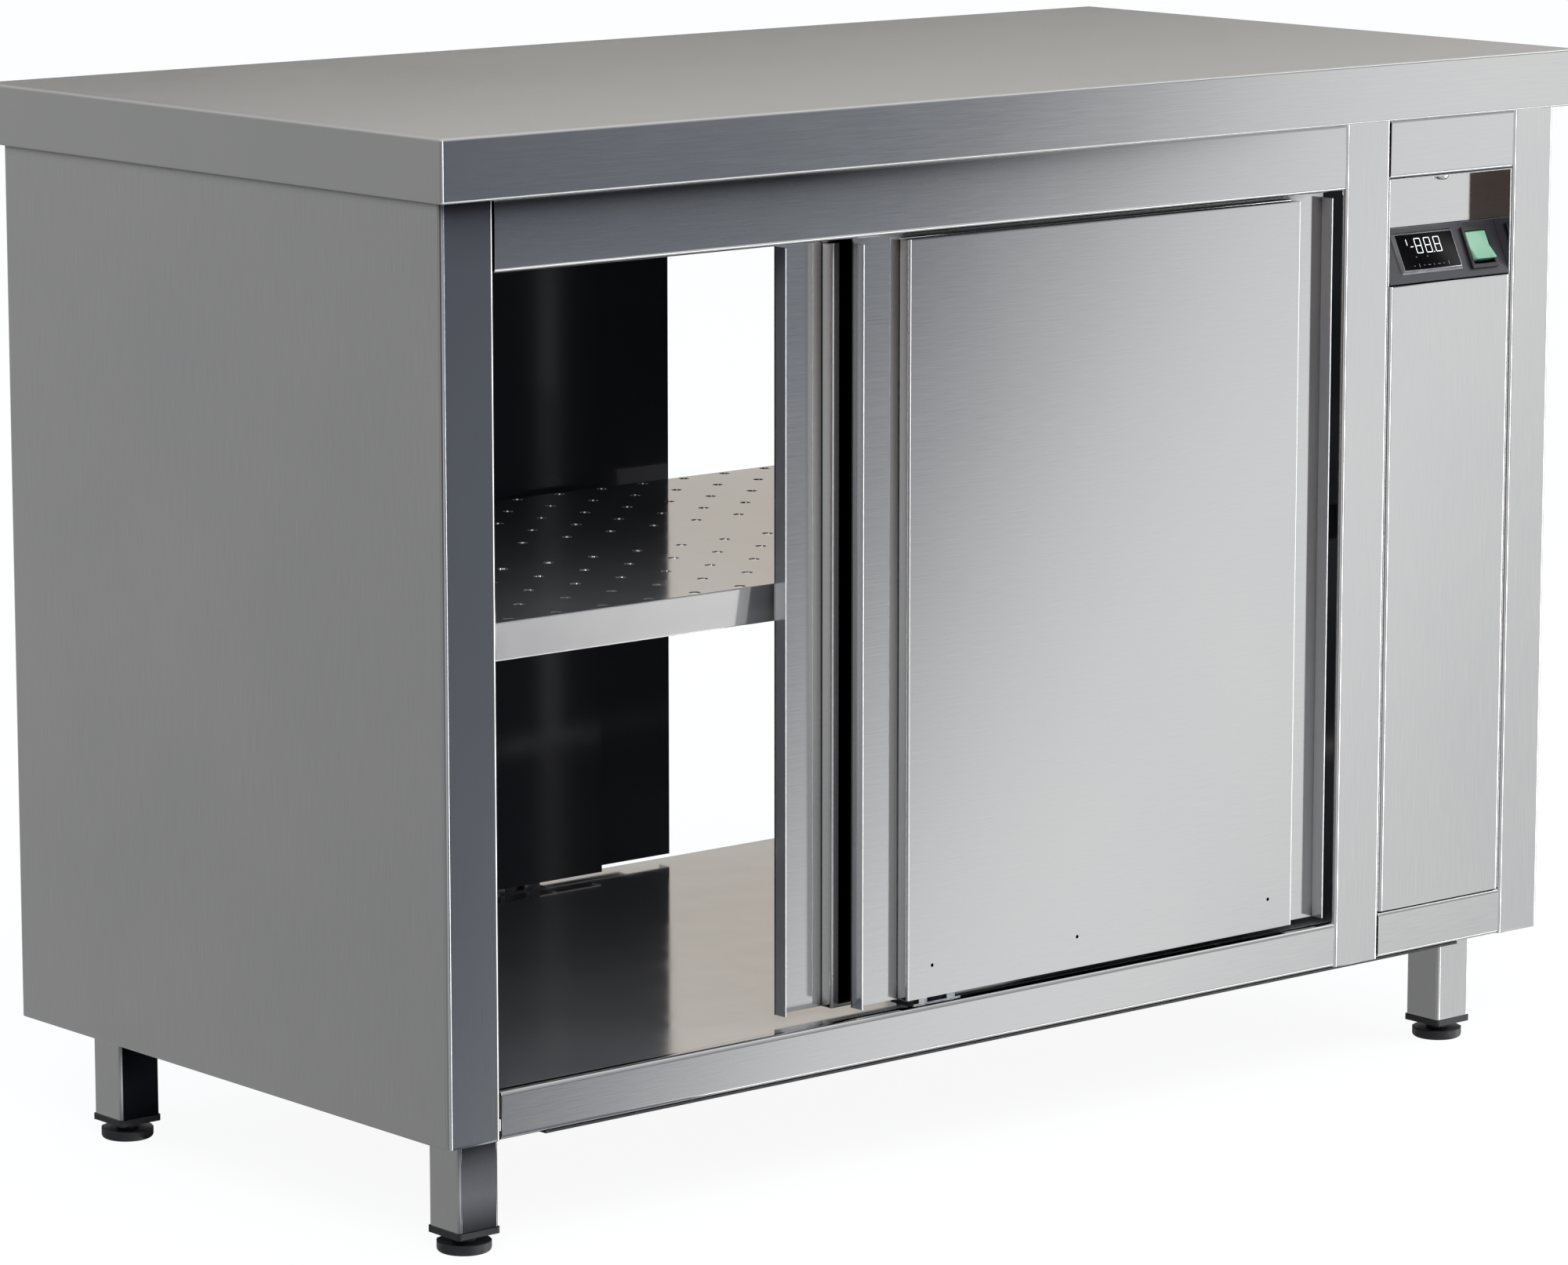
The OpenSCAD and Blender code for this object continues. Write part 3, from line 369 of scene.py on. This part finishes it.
# Real scratches of this grit are 0.1 mm apart: the streaks are drawn coarser so that they show
brushedLook = {
    "streakMm": 0.7, "runMm": 35, "cloudMm": 160, "cloudShare": 0.35, "dark": "#cdced0", "light": "#d9d9d9",
    "smooth": 0.07, "rough": 0.11, "grooveMm": 0.007, "metal": 1,
    # painted shade under overhangs and in slots: its reach, the faces it lies on, where it fades along X and
    # its colour
    "slotMm": 50, "slotFaces": {"Y": (1, 0.7)}, "slotFull": -250, "slotEnd": 300, "slotTone": "#303135",
    "slotSamples": 8,
}
rolledLook = {
    "rippleMm": 90, "hazeMm": 40, "dark": "#d8d6d4", "light": "#e0dedc",
    "smooth": 0.08, "rough": 0.13, "waveMm": 0.05, "metal": 0.83,
}
zincLook = {"crystalMm": 9, "dark": "#8b8f94", "light": "#a6a9ac", "smooth": 0.34, "rough": 0.48}
aluminiumLook = {**brushedLook, "streakMm": 0.8, "runMm": 300, "dark": "#b9bbbd", "light": "#c9cacc",
                 "smooth": 0.24, "rough": 0.34}
# painted shade: the door tracks are made black to stand in for the shade in the gap above the doors
trackShadeLook = {**aluminiumLook, "dark": "#19191b", "light": "#242426"}
woolLook = {"grainMm": 1.2, "patchMm": 18, "dark": "#a98f4e", "light": "#cdb678",
            "smooth": 0.85, "rough": 0.95, "depthMm": 0.8}
blackLook = {"grainMm": 0.6, "patchMm": 12, "dark": "#17171a", "light": "#222225",
             "smooth": 0.42, "rough": 0.55, "depthMm": 0.02}
consoleLook = {"grainMm": 0.8, "patchMm": 25, "dark": "#27262b", "light": "#302f34",
               "smooth": 0.38, "rough": 0.48, "depthMm": 0.02}
rockerLook = {"grainMm": 0.8, "patchMm": 20, "dark": "#9ad0a8", "light": "#a6dab3",
              "smooth": 0.25, "rough": 0.34, "depthMm": 0.01}
nylonLook = {"grainMm": 0.7, "patchMm": 6, "dark": "#d5d3c9", "light": "#e4e2d9",
             "smooth": 0.4, "rough": 0.5, "depthMm": 0.02}
heaterLook = {"grainMm": 0.9, "patchMm": 22, "dark": "#6a625c", "light": "#8c837a",
              "smooth": 0.4, "rough": 0.55, "depthMm": 0.03}
motorLook = {"grainMm": 1.1, "patchMm": 30, "dark": "#5b5e64", "light": "#6d7076",
             "smooth": 0.35, "rough": 0.45, "depthMm": 0.04}
creamLook = {"grainMm": 0.7, "patchMm": 10, "dark": "#d2cab3", "light": "#e0d9c5",
             "smooth": 0.45, "rough": 0.55, "depthMm": 0.02}
steelAcross = brushedStainless("stainlessBrushedAcross", "X", brushedLook)
steelUpright = brushedStainless("stainlessBrushedUpright", "Z", brushedLook)
doorLook = {**brushedLook, "slotMm": 0}
# door backs: near-black painted shade in their slots and channels, and a painted-shade side towards the
# chamber
backLook = {**brushedLook, "slotMm": 20, "slotFaces": {"Y": (0.55, 0.4)}, "slotFull": 900, "slotEnd": 1000,
            "slotTone": "#0c0c0d", "dull": "#5a5a5e", "dullMetal": 0.3}
# left side panel: painted shade on its front faces, and on its side faces where they are hemmed in, as under
# the worktop
sideLook = {**brushedLook, "slotFaces": {"Y": (1, 0.7), "X": (0.70, 0.57)}, "dull": "#aeb0b4", "dullMetal": 1}
# painted shade: the chamber lining is darker than the outer sheet, standing in for the shade inside the
# chamber
shadedLiningLook = {**doorLook, "dark": "#838487", "light": "#909193", "metal": 0.95}
flangeFinish = brushedStainless("stainlessBrushedFlange", "Z", {**doorLook, "metal": 0.78})
ownFinish = {
    "left_side_panel": brushedStainless("stainlessBrushedHandled", "Z", sideLook, -1),
    "left_lining": brushedStainless("stainlessBrushedLining", "Z", shadedLiningLook),
    "control_recess": brushedStainless("stainlessBrushedRecess", "X", doorLook),
    "ceiling_panel": brushedStainless("stainlessBrushedCeiling", "X", shadedLiningLook),
    # painted shade: the pan under the body is given a black skin that stands in for the shade under the
    # bottom rail
    "base_pan": grainedSkin("steelSealedBlack", blackLook),
    # painted shade: black tracks stand in for the shade above the doors
    "door_tracks": brushedStainless("aluminiumAnodisedBlack", "X", trackShadeLook),
}
# each door back takes painted shade on the side towards the chamber
for side, shadedFace in (("front", 1), ("rear", -1)):
    doorBack = brushedStainless("stainlessBrushed" + side.capitalize() + "Back", "X", backLook, shadedFace)
    for door in (side + "_outer", side + "_inner"):
        ownFinish.update({door + "_back": doorBack, door + "_fittings": flangeFinish})
slotFinish = {
    "stainless_brushed": steelAcross,
    "stainless_bright": brightStainless("stainlessBrightRolled", rolledLook),
    "zinc_sheet": galvanisedSheet("steelGalvanised", zincLook),
    "track_aluminium": brushedStainless("aluminiumExtruded", "X", aluminiumLook),
    "wool_board": grainedSkin("mineralWoolPressed", woolLook),
    "black_plastic": grainedSkin("nylonBlackMoulded", blackLook),
    "console_paint": grainedSkin("steelPowderCoatedGrey", consoleLook),
    "rocker_green": grainedSkin("polycarbonateGreenMoulded", rockerLook, Transmission_Weight=0.15),
    "roller_nylon": grainedSkin("nylonNaturalMoulded", nylonLook),
    "heater_alloy": grainedSkin("nickelAlloyOxidised", heaterLook, Metallic=1),
    "motor_paint": grainedSkin("steelPaintedGrey", motorLook, Metallic=0.3),
    "terminal_cream": grainedSkin("polyamideCreamMoulded", creamLook),
}
smokedLook = {"grainMm": 2.5, "patchMm": 30, "dark": "#050506", "light": "#0a0a0b",
              "smooth": 0.20, "rough": 0.28, "depthMm": 0.002}
bezelLook = {"grainMm": 0.6, "patchMm": 20, "dark": "#7c7c80", "light": "#8a8a8e",
             "smooth": 0.18, "rough": 0.26, "depthMm": 0.002}
litLook = {"grainMm": 0.5, "patchMm": 3, "dark": "#e9ecee", "light": "#f8fafb",
           "smooth": 0.5, "rough": 0.6, "depthMm": 0.002}
dimLook = {**litLook, "dark": "#8d9092", "light": "#a5a8aa"}
smokedAcrylic = grainedSkin("acrylicSmokedPolished", smokedLook, Specular_IOR_Level=0.03)
bezelPlastic = grainedSkin("absSatinChromed", bezelLook, Metallic=1)
litSegment = grainedSkin("lightedSegmentDiffuser", litLook, Emission_Color=hexColour("#eef2f4"),
                         Emission_Strength=1.2)
printedMark = grainedSkin("inkScreenPrinted", dimLook)
uprightNodes = ["right_side_panel", "partition_casing", "legs", "service_cover"]
nodeFinish = {n: slotFinish[slotOf[n]] for n in nodes}
nodeFinish.update({n: steelUpright for n in uprightNodes})
nodeFinish.update(ownFinish)
for nodeName, node in nodes.items():
    node.data.materials.clear()
    node.data.materials.append(nodeFinish[nodeName])
print("materials set")


# A piece takes its place in the model: its material, its body and the nodes it stands for; its slot name is
# not used
def fit(piece, material, body, slotName, *replaced):
    piece.data.materials.clear()
    piece.data.materials.append(material)
    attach(piece, body)
    if replaced:
        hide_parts(*replaced)


# How sheet is worked: what counts as flat or as one way (cosines), and turns in degrees
sheetWork = {"flat": 0.999, "oneWay": 0.99, "weldMm": 0.01, "flatTurn": 0.5, "foldTurn": 40, "smoothTurn": 40,
             "rimTurn": 60, "rimSteps": 2, "evenWeight": 100}


# Flat areas of a sheet, each a list of faces that the sheet doesn't turn between
def flatAreas(mesh):
    left = set(mesh.faces)
    while left:
        area = [left.pop()]
        for face in area:
            near = [f for e in face.edges for f in e.link_faces
                    if f in left and f.normal.dot(face.normal) > sheetWork["flat"]]
            area += near
            left.difference_update(near)
        yield list(dict.fromkeys(area))


# Selects edges that turn outwards between two broad areas: the outside of each fold, or the rim of a sheet
def selectFolds(piece, broad, turn=sheetWork["foldTurn"]):
    mesh = bmesh.from_edit_mesh(piece.data)
    broadFaces = set()
    for area in flatAreas(mesh):
        corners = [v.co for f in area for v in f.verts]
        spans = sorted(max(c[i] for c in corners) - min(c[i] for c in corners) for i in range(3))
        if spans[1] > broad:
            broadFaces.update(area)
    for edge in mesh.edges:
        folds = len(edge.link_faces) == 2 and edge.is_convex and edge.calc_face_angle() > radians(turn)
        edge.select_set(folds and all(f in broadFaces for f in edge.link_faces))
    bmesh.update_edit_mesh(piece.data)


# Leaves edit mode with rounded edges shaded round
def leaveEdit():
    bpy.ops.object.mode_set(mode="OBJECT")
    bpy.ops.object.shade_smooth_by_angle(angle=radians(sheetWork["smoothTurn"]))


# Leaves edit mode with the folds shaded round and the flat areas flat
def shadeEven(piece):
    leaveEdit()
    even = piece.modifiers.new("evenShading", "WEIGHTED_NORMAL")
    even.weight = sheetWork["evenWeight"]
    even.keep_sharp = True
    bpy.ops.object.modifier_apply(modifier=even.name)


# A sheet piece with its folds rounded, modelled over a copy of its node
def foldedSheet(nodeName, values):
    words = nodeName.split("_")
    pieceName = words[0] + "".join(w.capitalize() for w in words[1:])
    piece = bpy.data.objects.new(pieceName, nodes[nodeName].data.copy())
    bpy.context.collection.objects.link(piece)
    bpy.ops.object.select_all(action="DESELECT")
    piece.select_set(True)
    bpy.context.view_layer.objects.active = piece
    bpy.ops.object.mode_set(mode="EDIT")
    bpy.ops.mesh.select_all(action="SELECT")
    bpy.ops.mesh.customdata_custom_splitnormals_clear()
    bpy.ops.mesh.remove_doubles(threshold=sheetWork["weldMm"] * mm)
    bpy.ops.mesh.dissolve_limited(angle_limit=radians(sheetWork["flatTurn"]))
    bpy.ops.mesh.select_all(action="DESELECT")
    selectFolds(piece, values["broadMm"] * mm)
    bpy.ops.mesh.bevel(offset=values["foldMm"] * mm, segments=values["steps"], affect="EDGES")
    if "rimMm" in values:
        bpy.ops.mesh.select_all(action="DESELECT")
        selectFolds(piece, values["rimMm"] * mm, sheetWork["rimTurn"])
        bpy.ops.mesh.bevel(offset=values["rimMm"] * mm, segments=sheetWork["rimSteps"], affect="EDGES")
    shadeEven(piece)
    fit(piece, nodes[nodeName].data.materials[0], bodyOf[nodeName], slotOf[nodeName], nodeName)
    return piece


# Outside radius of the folds of each sheet piece, whose rims are deburred
sheetFold = {"broadMm": 5, "steps": 3, "rimMm": 0.4}
foldSizes = {
    "left_side_panel": 1.8, "right_side_panel": 1.8, "partition_casing": 1.5,
    "top_rails": 1.2, "bottom_rails": 1.2, "header_panel": 1.2, "service_cover": 1.2, "kick_panel": 1.2,
    "legs": 3.0, "base_pan": 1.5, "rear_service_panel": 1.2,
    "front_outer_panel": 1.2, "front_inner_panel": 1.2, "rear_outer_panel": 1.2, "rear_inner_panel": 1.2,
}
for nodeName, foldMm in foldSizes.items():
    foldedSheet(nodeName, {**sheetFold, "foldMm": foldMm})
print("sheet pieces folded")

consoleSlope = {"corner": (395, -285, 664), "turn": 64.2}


# The console slopes, so its pieces are modelled flat, across, up the slope and out of it, and then seated
def seatOnConsole(piece):
    bpy.ops.object.select_all(action="DESELECT")
    piece.select_set(True)
    bpy.context.view_layer.objects.active = piece
    piece.rotation_euler = (radians(consoleSlope["turn"]), 0, 0)
    piece.location = Vector(consoleSlope["corner"]) * mm
    bpy.ops.object.transform_apply(location=True, rotation=True, scale=True)


# A block between two corners in mm, left in edit mode with nothing selected
def startBlock(name, low, high):
    bpy.ops.object.select_all(action="DESELECT")
    bpy.ops.mesh.primitive_cube_add(size=1, location=[(a + b) / 2 * mm for a, b in zip(low, high)])
    piece = bpy.context.object
    piece.name = name
    piece.scale = [(b - a) * mm for a, b in zip(low, high)]
    bpy.ops.object.transform_apply(location=True, rotation=False, scale=True)
    bpy.ops.object.mode_set(mode="EDIT")
    bpy.ops.mesh.select_mode(type="FACE")
    bpy.ops.mesh.select_all(action="DESELECT")
    return piece


# Selects the faces that look one way
def selectFacing(piece, way):
    mesh = bmesh.from_edit_mesh(piece.data)
    for face in mesh.faces:
        face.select_set(face.normal.dot(Vector(way)) > sheetWork["oneWay"])
    bmesh.update_edit_mesh(piece.data)


# Worktop: one sheet folded down all round, with a lip turned in under it
worktop = {"sheetMm": 1.5, "lipMm": 14, "foldMm": 2.2, "steps": 4}
low, high = ([c / mm for c in corner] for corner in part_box("worktop_skin"))
worktopSkin = startBlock("worktopSkin", low, high)
selectFacing(worktopSkin, (0, 0, -1))
bpy.ops.mesh.inset(thickness=worktop["lipMm"] * mm, depth=0)
bpy.ops.mesh.extrude_region_move(TRANSFORM_OT_translate={"value": (0, 0, worktop["sheetMm"] * mm)})
bpy.ops.mesh.extrude_region_move()
bpy.ops.transform.resize(value=[(b - a - 2 * worktop["sheetMm"]) / (b - a - 2 * worktop["lipMm"])
                                for a, b in zip(low[:2], high[:2])] + [1])
hollow = high[2] - low[2] - 2 * worktop["sheetMm"]
bpy.ops.mesh.extrude_region_move(TRANSFORM_OT_translate={"value": (0, 0, hollow * mm)})
bpy.ops.mesh.select_all(action="DESELECT")
bpy.ops.mesh.select_mode(type="EDGE")
selectFolds(worktopSkin, worktop["lipMm"] / 2 * mm)
bpy.ops.mesh.bevel(offset=worktop["foldMm"] * mm, segments=worktop["steps"], affect="EDGES")
shadeEven(worktopSkin)
fit(worktopSkin, nodeFinish["worktop_skin"], bodyOf["worktop_skin"], slotOf["worktop_skin"], "worktop_skin")
print("worktop modelled")

# Temperature controller: a flared, chromed bezel filled by a smoked window, and its box behind the console
display = {"left": 21, "foot": 9.9, "width": 68, "height": 32, "proud": 2.5, "flare": 2.2, "seat": 0.02,
           "lip": 0.1, "edge": 0.3, "window": 0.5, "rim": 0.3, "windowEdge": 0.25, "edgeSteps": 2,
           "boxInset": 4.8, "boxDepth": 30}
flare, rim, proud = (display[name] for name in ("flare", "rim", "proud"))
faceLow = (display["left"], display["foot"])
faceHigh = (display["left"] + display["width"], display["foot"] + display["height"])
bezel = startBlock("controllerBezel", (*[a - flare for a in faceLow], display["seat"]),
                   (*[a + flare for a in faceHigh], proud - display["lip"]))
selectFacing(bezel, (0, 0, 1))
bpy.ops.transform.resize(value=[(b - a) / (b - a + 2 * flare) for a, b in zip(faceLow, faceHigh)] + [1])
bpy.ops.mesh.bevel(offset=display["edge"] * mm, segments=display["edgeSteps"], affect="EDGES")
bpy.ops.mesh.select_all(action="DESELECT")
selectFacing(bezel, (0, 0, -1))
bpy.ops.mesh.inset(thickness=display["boxInset"] * mm, depth=0)
bpy.ops.mesh.extrude_region_move(TRANSFORM_OT_translate={"value": (0, 0, -display["boxDepth"] * mm)})
leaveEdit()
seatOnConsole(bezel)
fit(bezel, bezelPlastic, "cabinet", "black_plastic", "controller")
window = startBlock("controllerWindow", (*[a + rim for a in faceLow], proud - display["window"]),
                    (*[a - rim for a in faceHigh], proud))
selectFacing(window, (0, 0, 1))
bpy.ops.mesh.bevel(offset=display["windowEdge"] * mm, segments=display["edgeSteps"], affect="EDGES")
leaveEdit()
seatOnConsole(window)
fit(window, smokedAcrylic, "cabinet", "black_plastic")

# Readout: three figures of seven bars, a sign, a point and the small marks round them
figures = {
    "figureAt": (0.31, 0.476, 0.642), "top": 0.145, "width": 0.098, "height": 0.40, "bar": 1.4,
    "raised": 0.12, "taper": 0.4, "joint": 0.4, "thin": 0.8, "signAt": (0.245, 0.36), "signLength": 3.0,
    "pointAt": (0.603, 0.545), "pointSize": 1.3, "sideBarAt": (0.17, 0.23), "sideBarLength": 5.5,
}
printed = {
    "keyRow": 0.885, "keyFrom": 0.19, "keyTo": 0.79, "keys": 8, "keySize": 1.7,
    "lampRow": 0.65, "lampAt": (0.265, 0.46), "lampSize": 1.4,
}


# A bar with drawn-in ends, lying on the window at shares across and down it
def barOnWindow(name, across, down, length, thick, upright):
    middle = (display["left"] + across * display["width"], display["foot"] + (1 - down) * display["height"])
    half = (thick / 2, length / 2) if upright else (length / 2, thick / 2)
    bar = startBlock(name, (middle[0] - half[0], middle[1] - half[1], proud),
                     (middle[0] + half[0], middle[1] + half[1], proud + figures["raised"]))
    for end in (-1, 1):
        bpy.ops.mesh.select_all(action="DESELECT")
        selectFacing(bar, (0, end, 0) if upright else (end, 0, 0))
        bpy.ops.transform.resize(value=(figures["taper"], 1, 1) if upright else (1, figures["taper"], 1))
    bpy.ops.object.mode_set(mode="OBJECT")
    return bar


# Joins the parts of one printed or lighted group into one piece and seats it
def joinOnConsole(name, parts, material):
    bpy.ops.object.select_all(action="DESELECT")
    for part in parts:
        part.select_set(True)
    bpy.context.view_layer.objects.active = parts[0]
    bpy.ops.object.join()
    parts[0].name = name
    seatOnConsole(parts[0])
    fit(parts[0], material, "cabinet", "black_plastic")


bar, thinBar = figures["bar"], figures["bar"] * figures["thin"]
lyingBar = figures["width"] * display["width"] - figures["joint"]
standingBar = figures["height"] * display["height"] / 2 - figures["joint"]
segments = []
for figureLeft in figures["figureAt"]:
    for row in range(3):
        down = figures["top"] + row * figures["height"] / 2
        segments.append(barOnWindow("bar", figureLeft + figures["width"] / 2, down, lyingBar, bar, False))
    for column in range(2):
        across = figureLeft + column * figures["width"]
        for row in range(2):
            down = figures["top"] + (row + 0.5) * figures["height"] / 2
            segments.append(barOnWindow("bar", across, down, standingBar, bar, True))
segments.append(barOnWindow("bar", *figures["signAt"], figures["signLength"], bar, False))
segments.append(barOnWindow("bar", *figures["pointAt"], figures["pointSize"], figures["pointSize"], False))
segments.append(barOnWindow("bar", *figures["sideBarAt"], figures["sideBarLength"], thinBar, True))
joinOnConsole("readoutFigures", segments, litSegment)
marks = []
keyStep = (printed["keyTo"] - printed["keyFrom"]) / (printed["keys"] - 1)
for key in range(printed["keys"]):
    length = printed["keySize"] * (1 + key % 2)
    marks.append(barOnWindow("mark", printed["keyFrom"] + key * keyStep, printed["keyRow"], length,
                             printed["keySize"] / 2, key % 3 == 1))
for across in printed["lampAt"]:
    marks.append(barOnWindow("mark", across, printed["lampRow"], printed["lampSize"], printed["lampSize"],
                             False))
joinOnConsole("readoutMarks", marks, printedMark)
print("controller modelled")

# Moulded and small folded pieces with their edges rounded
mouldedEdges = {
    "switch_body": {"foldMm": 0.8, "broadMm": 2, "steps": 3},
    "switch_rocker": {"foldMm": 1.0, "broadMm": 4, "steps": 3},
    "console_plate": {"foldMm": 0.5, "broadMm": 1, "steps": 2},
    "control_recess": {"foldMm": 0.5, "broadMm": 3, "steps": 2},
    "leg_inserts": {"foldMm": 0.6, "broadMm": 1, "steps": 2},
    "cable_gland": {"foldMm": 0.8, "broadMm": 1, "steps": 2},
    **{corner + "_foot": {"foldMm": 1.2, "broadMm": 1, "steps": 3}
       for corner in ("front_left", "front_right", "rear_left", "rear_right")},
    **{door + "_fittings": {"foldMm": 0.4, "broadMm": 0.5, "steps": 2}
       for door in ("front_outer", "front_inner", "rear_outer", "rear_inner")},
}
for nodeName, values in mouldedEdges.items():
    foldedSheet(nodeName, values)
print("moulded pieces rounded")

# Shelf: its front edge hangs with the foot a little inwards, so it reflects the light part of the studio
shelfEdge = {"foldMm": 1.0, "broadMm": 5, "steps": 2, "leanMm": 3.0, "depthMm": 3}
shelfPiece = foldedSheet("shelf", shelfEdge)
lowEnd, highEnd = ([f(v.co[i] for v in shelfPiece.data.vertices) for i in range(3)] for f in (min, max))
bpy.ops.object.mode_set(mode="EDIT")
bpy.ops.mesh.select_mode(type="VERT")
bpy.ops.mesh.select_all(action="DESELECT")
mesh = bmesh.from_edit_mesh(shelfPiece.data)
for vertex in mesh.verts:
    atFoot = vertex.co.z < (lowEnd[2] + highEnd[2]) / 2
    vertex.select_set(atFoot and vertex.co.y < lowEnd[1] + shelfEdge["depthMm"] * mm)
bmesh.update_edit_mesh(shelfPiece.data)
bpy.ops.transform.translate(value=(0, shelfEdge["leanMm"] * mm, 0))
bpy.ops.object.mode_set(mode="OBJECT")
print("shelf modelled")

# Screw under the header: a domed head with a cross slot, on its shank
screw = {"place": (468, -271.5), "headTop": 751, "headWide": 14, "headHigh": 5, "sides": 48, "domeMm": 4.2,
         "steps": 6, "shankWide": 5, "shankHigh": 7.4, "slotLong": 8, "slotWide": 1.3, "slotDeep": 1.8}
bpy.ops.object.select_all(action="DESELECT")
middle = [a * mm for a in (*screw["place"], screw["headTop"] - screw["headHigh"] / 2)]
bpy.ops.mesh.primitive_cylinder_add(vertices=screw["sides"], radius=screw["headWide"] / 2 * mm,
                                    depth=screw["headHigh"] * mm, location=middle)
screwHead = bpy.context.object
screwHead.name = "headerScrew"
bpy.ops.object.transform_apply(location=True, rotation=False, scale=True)
bpy.ops.object.mode_set(mode="EDIT")
bpy.ops.mesh.select_mode(type="FACE")
bpy.ops.mesh.select_all(action="DESELECT")
selectFacing(screwHead, (0, 0, -1))
bpy.ops.mesh.bevel(offset=screw["domeMm"] * mm, segments=screw["steps"], affect="EDGES")
bpy.ops.mesh.select_all(action="DESELECT")
selectFacing(screwHead, (0, 0, 1))
bpy.ops.mesh.inset(thickness=(screw["headWide"] - screw["shankWide"]) / 2 * mm, depth=0)
bpy.ops.mesh.extrude_region_move(TRANSFORM_OT_translate={"value": (0, 0, screw["shankHigh"] * mm)})
bpy.ops.object.mode_set(mode="OBJECT")
headFoot = screw["headTop"] - screw["headHigh"]
for slotSize in (("slotLong", "slotWide"), ("slotWide", "slotLong")):
    low, high = ([a + s * screw[size] / 2 for a, size in zip(screw["place"], slotSize)] for s in (-1, 1))
    cutter = startBlock("slotCutter", (*low, headFoot - screw["slotDeep"]),
                        (*high, headFoot + screw["slotDeep"]))
    bpy.ops.object.mode_set(mode="OBJECT")
    bpy.ops.object.select_all(action="DESELECT")
    screwHead.select_set(True)
    bpy.context.view_layer.objects.active = screwHead
    slotCut = screwHead.modifiers.new("slotCut", "BOOLEAN")
    slotCut.object = cutter
    bpy.ops.object.modifier_apply(modifier=slotCut.name)
    bpy.data.objects.remove(cutter)
bpy.ops.object.shade_smooth_by_angle(angle=radians(sheetWork["smoothTurn"]))
fit(screwHead, steelAcross, bodyOf["header_screw"], slotOf["header_screw"], "header_screw")
print("screw modelled")
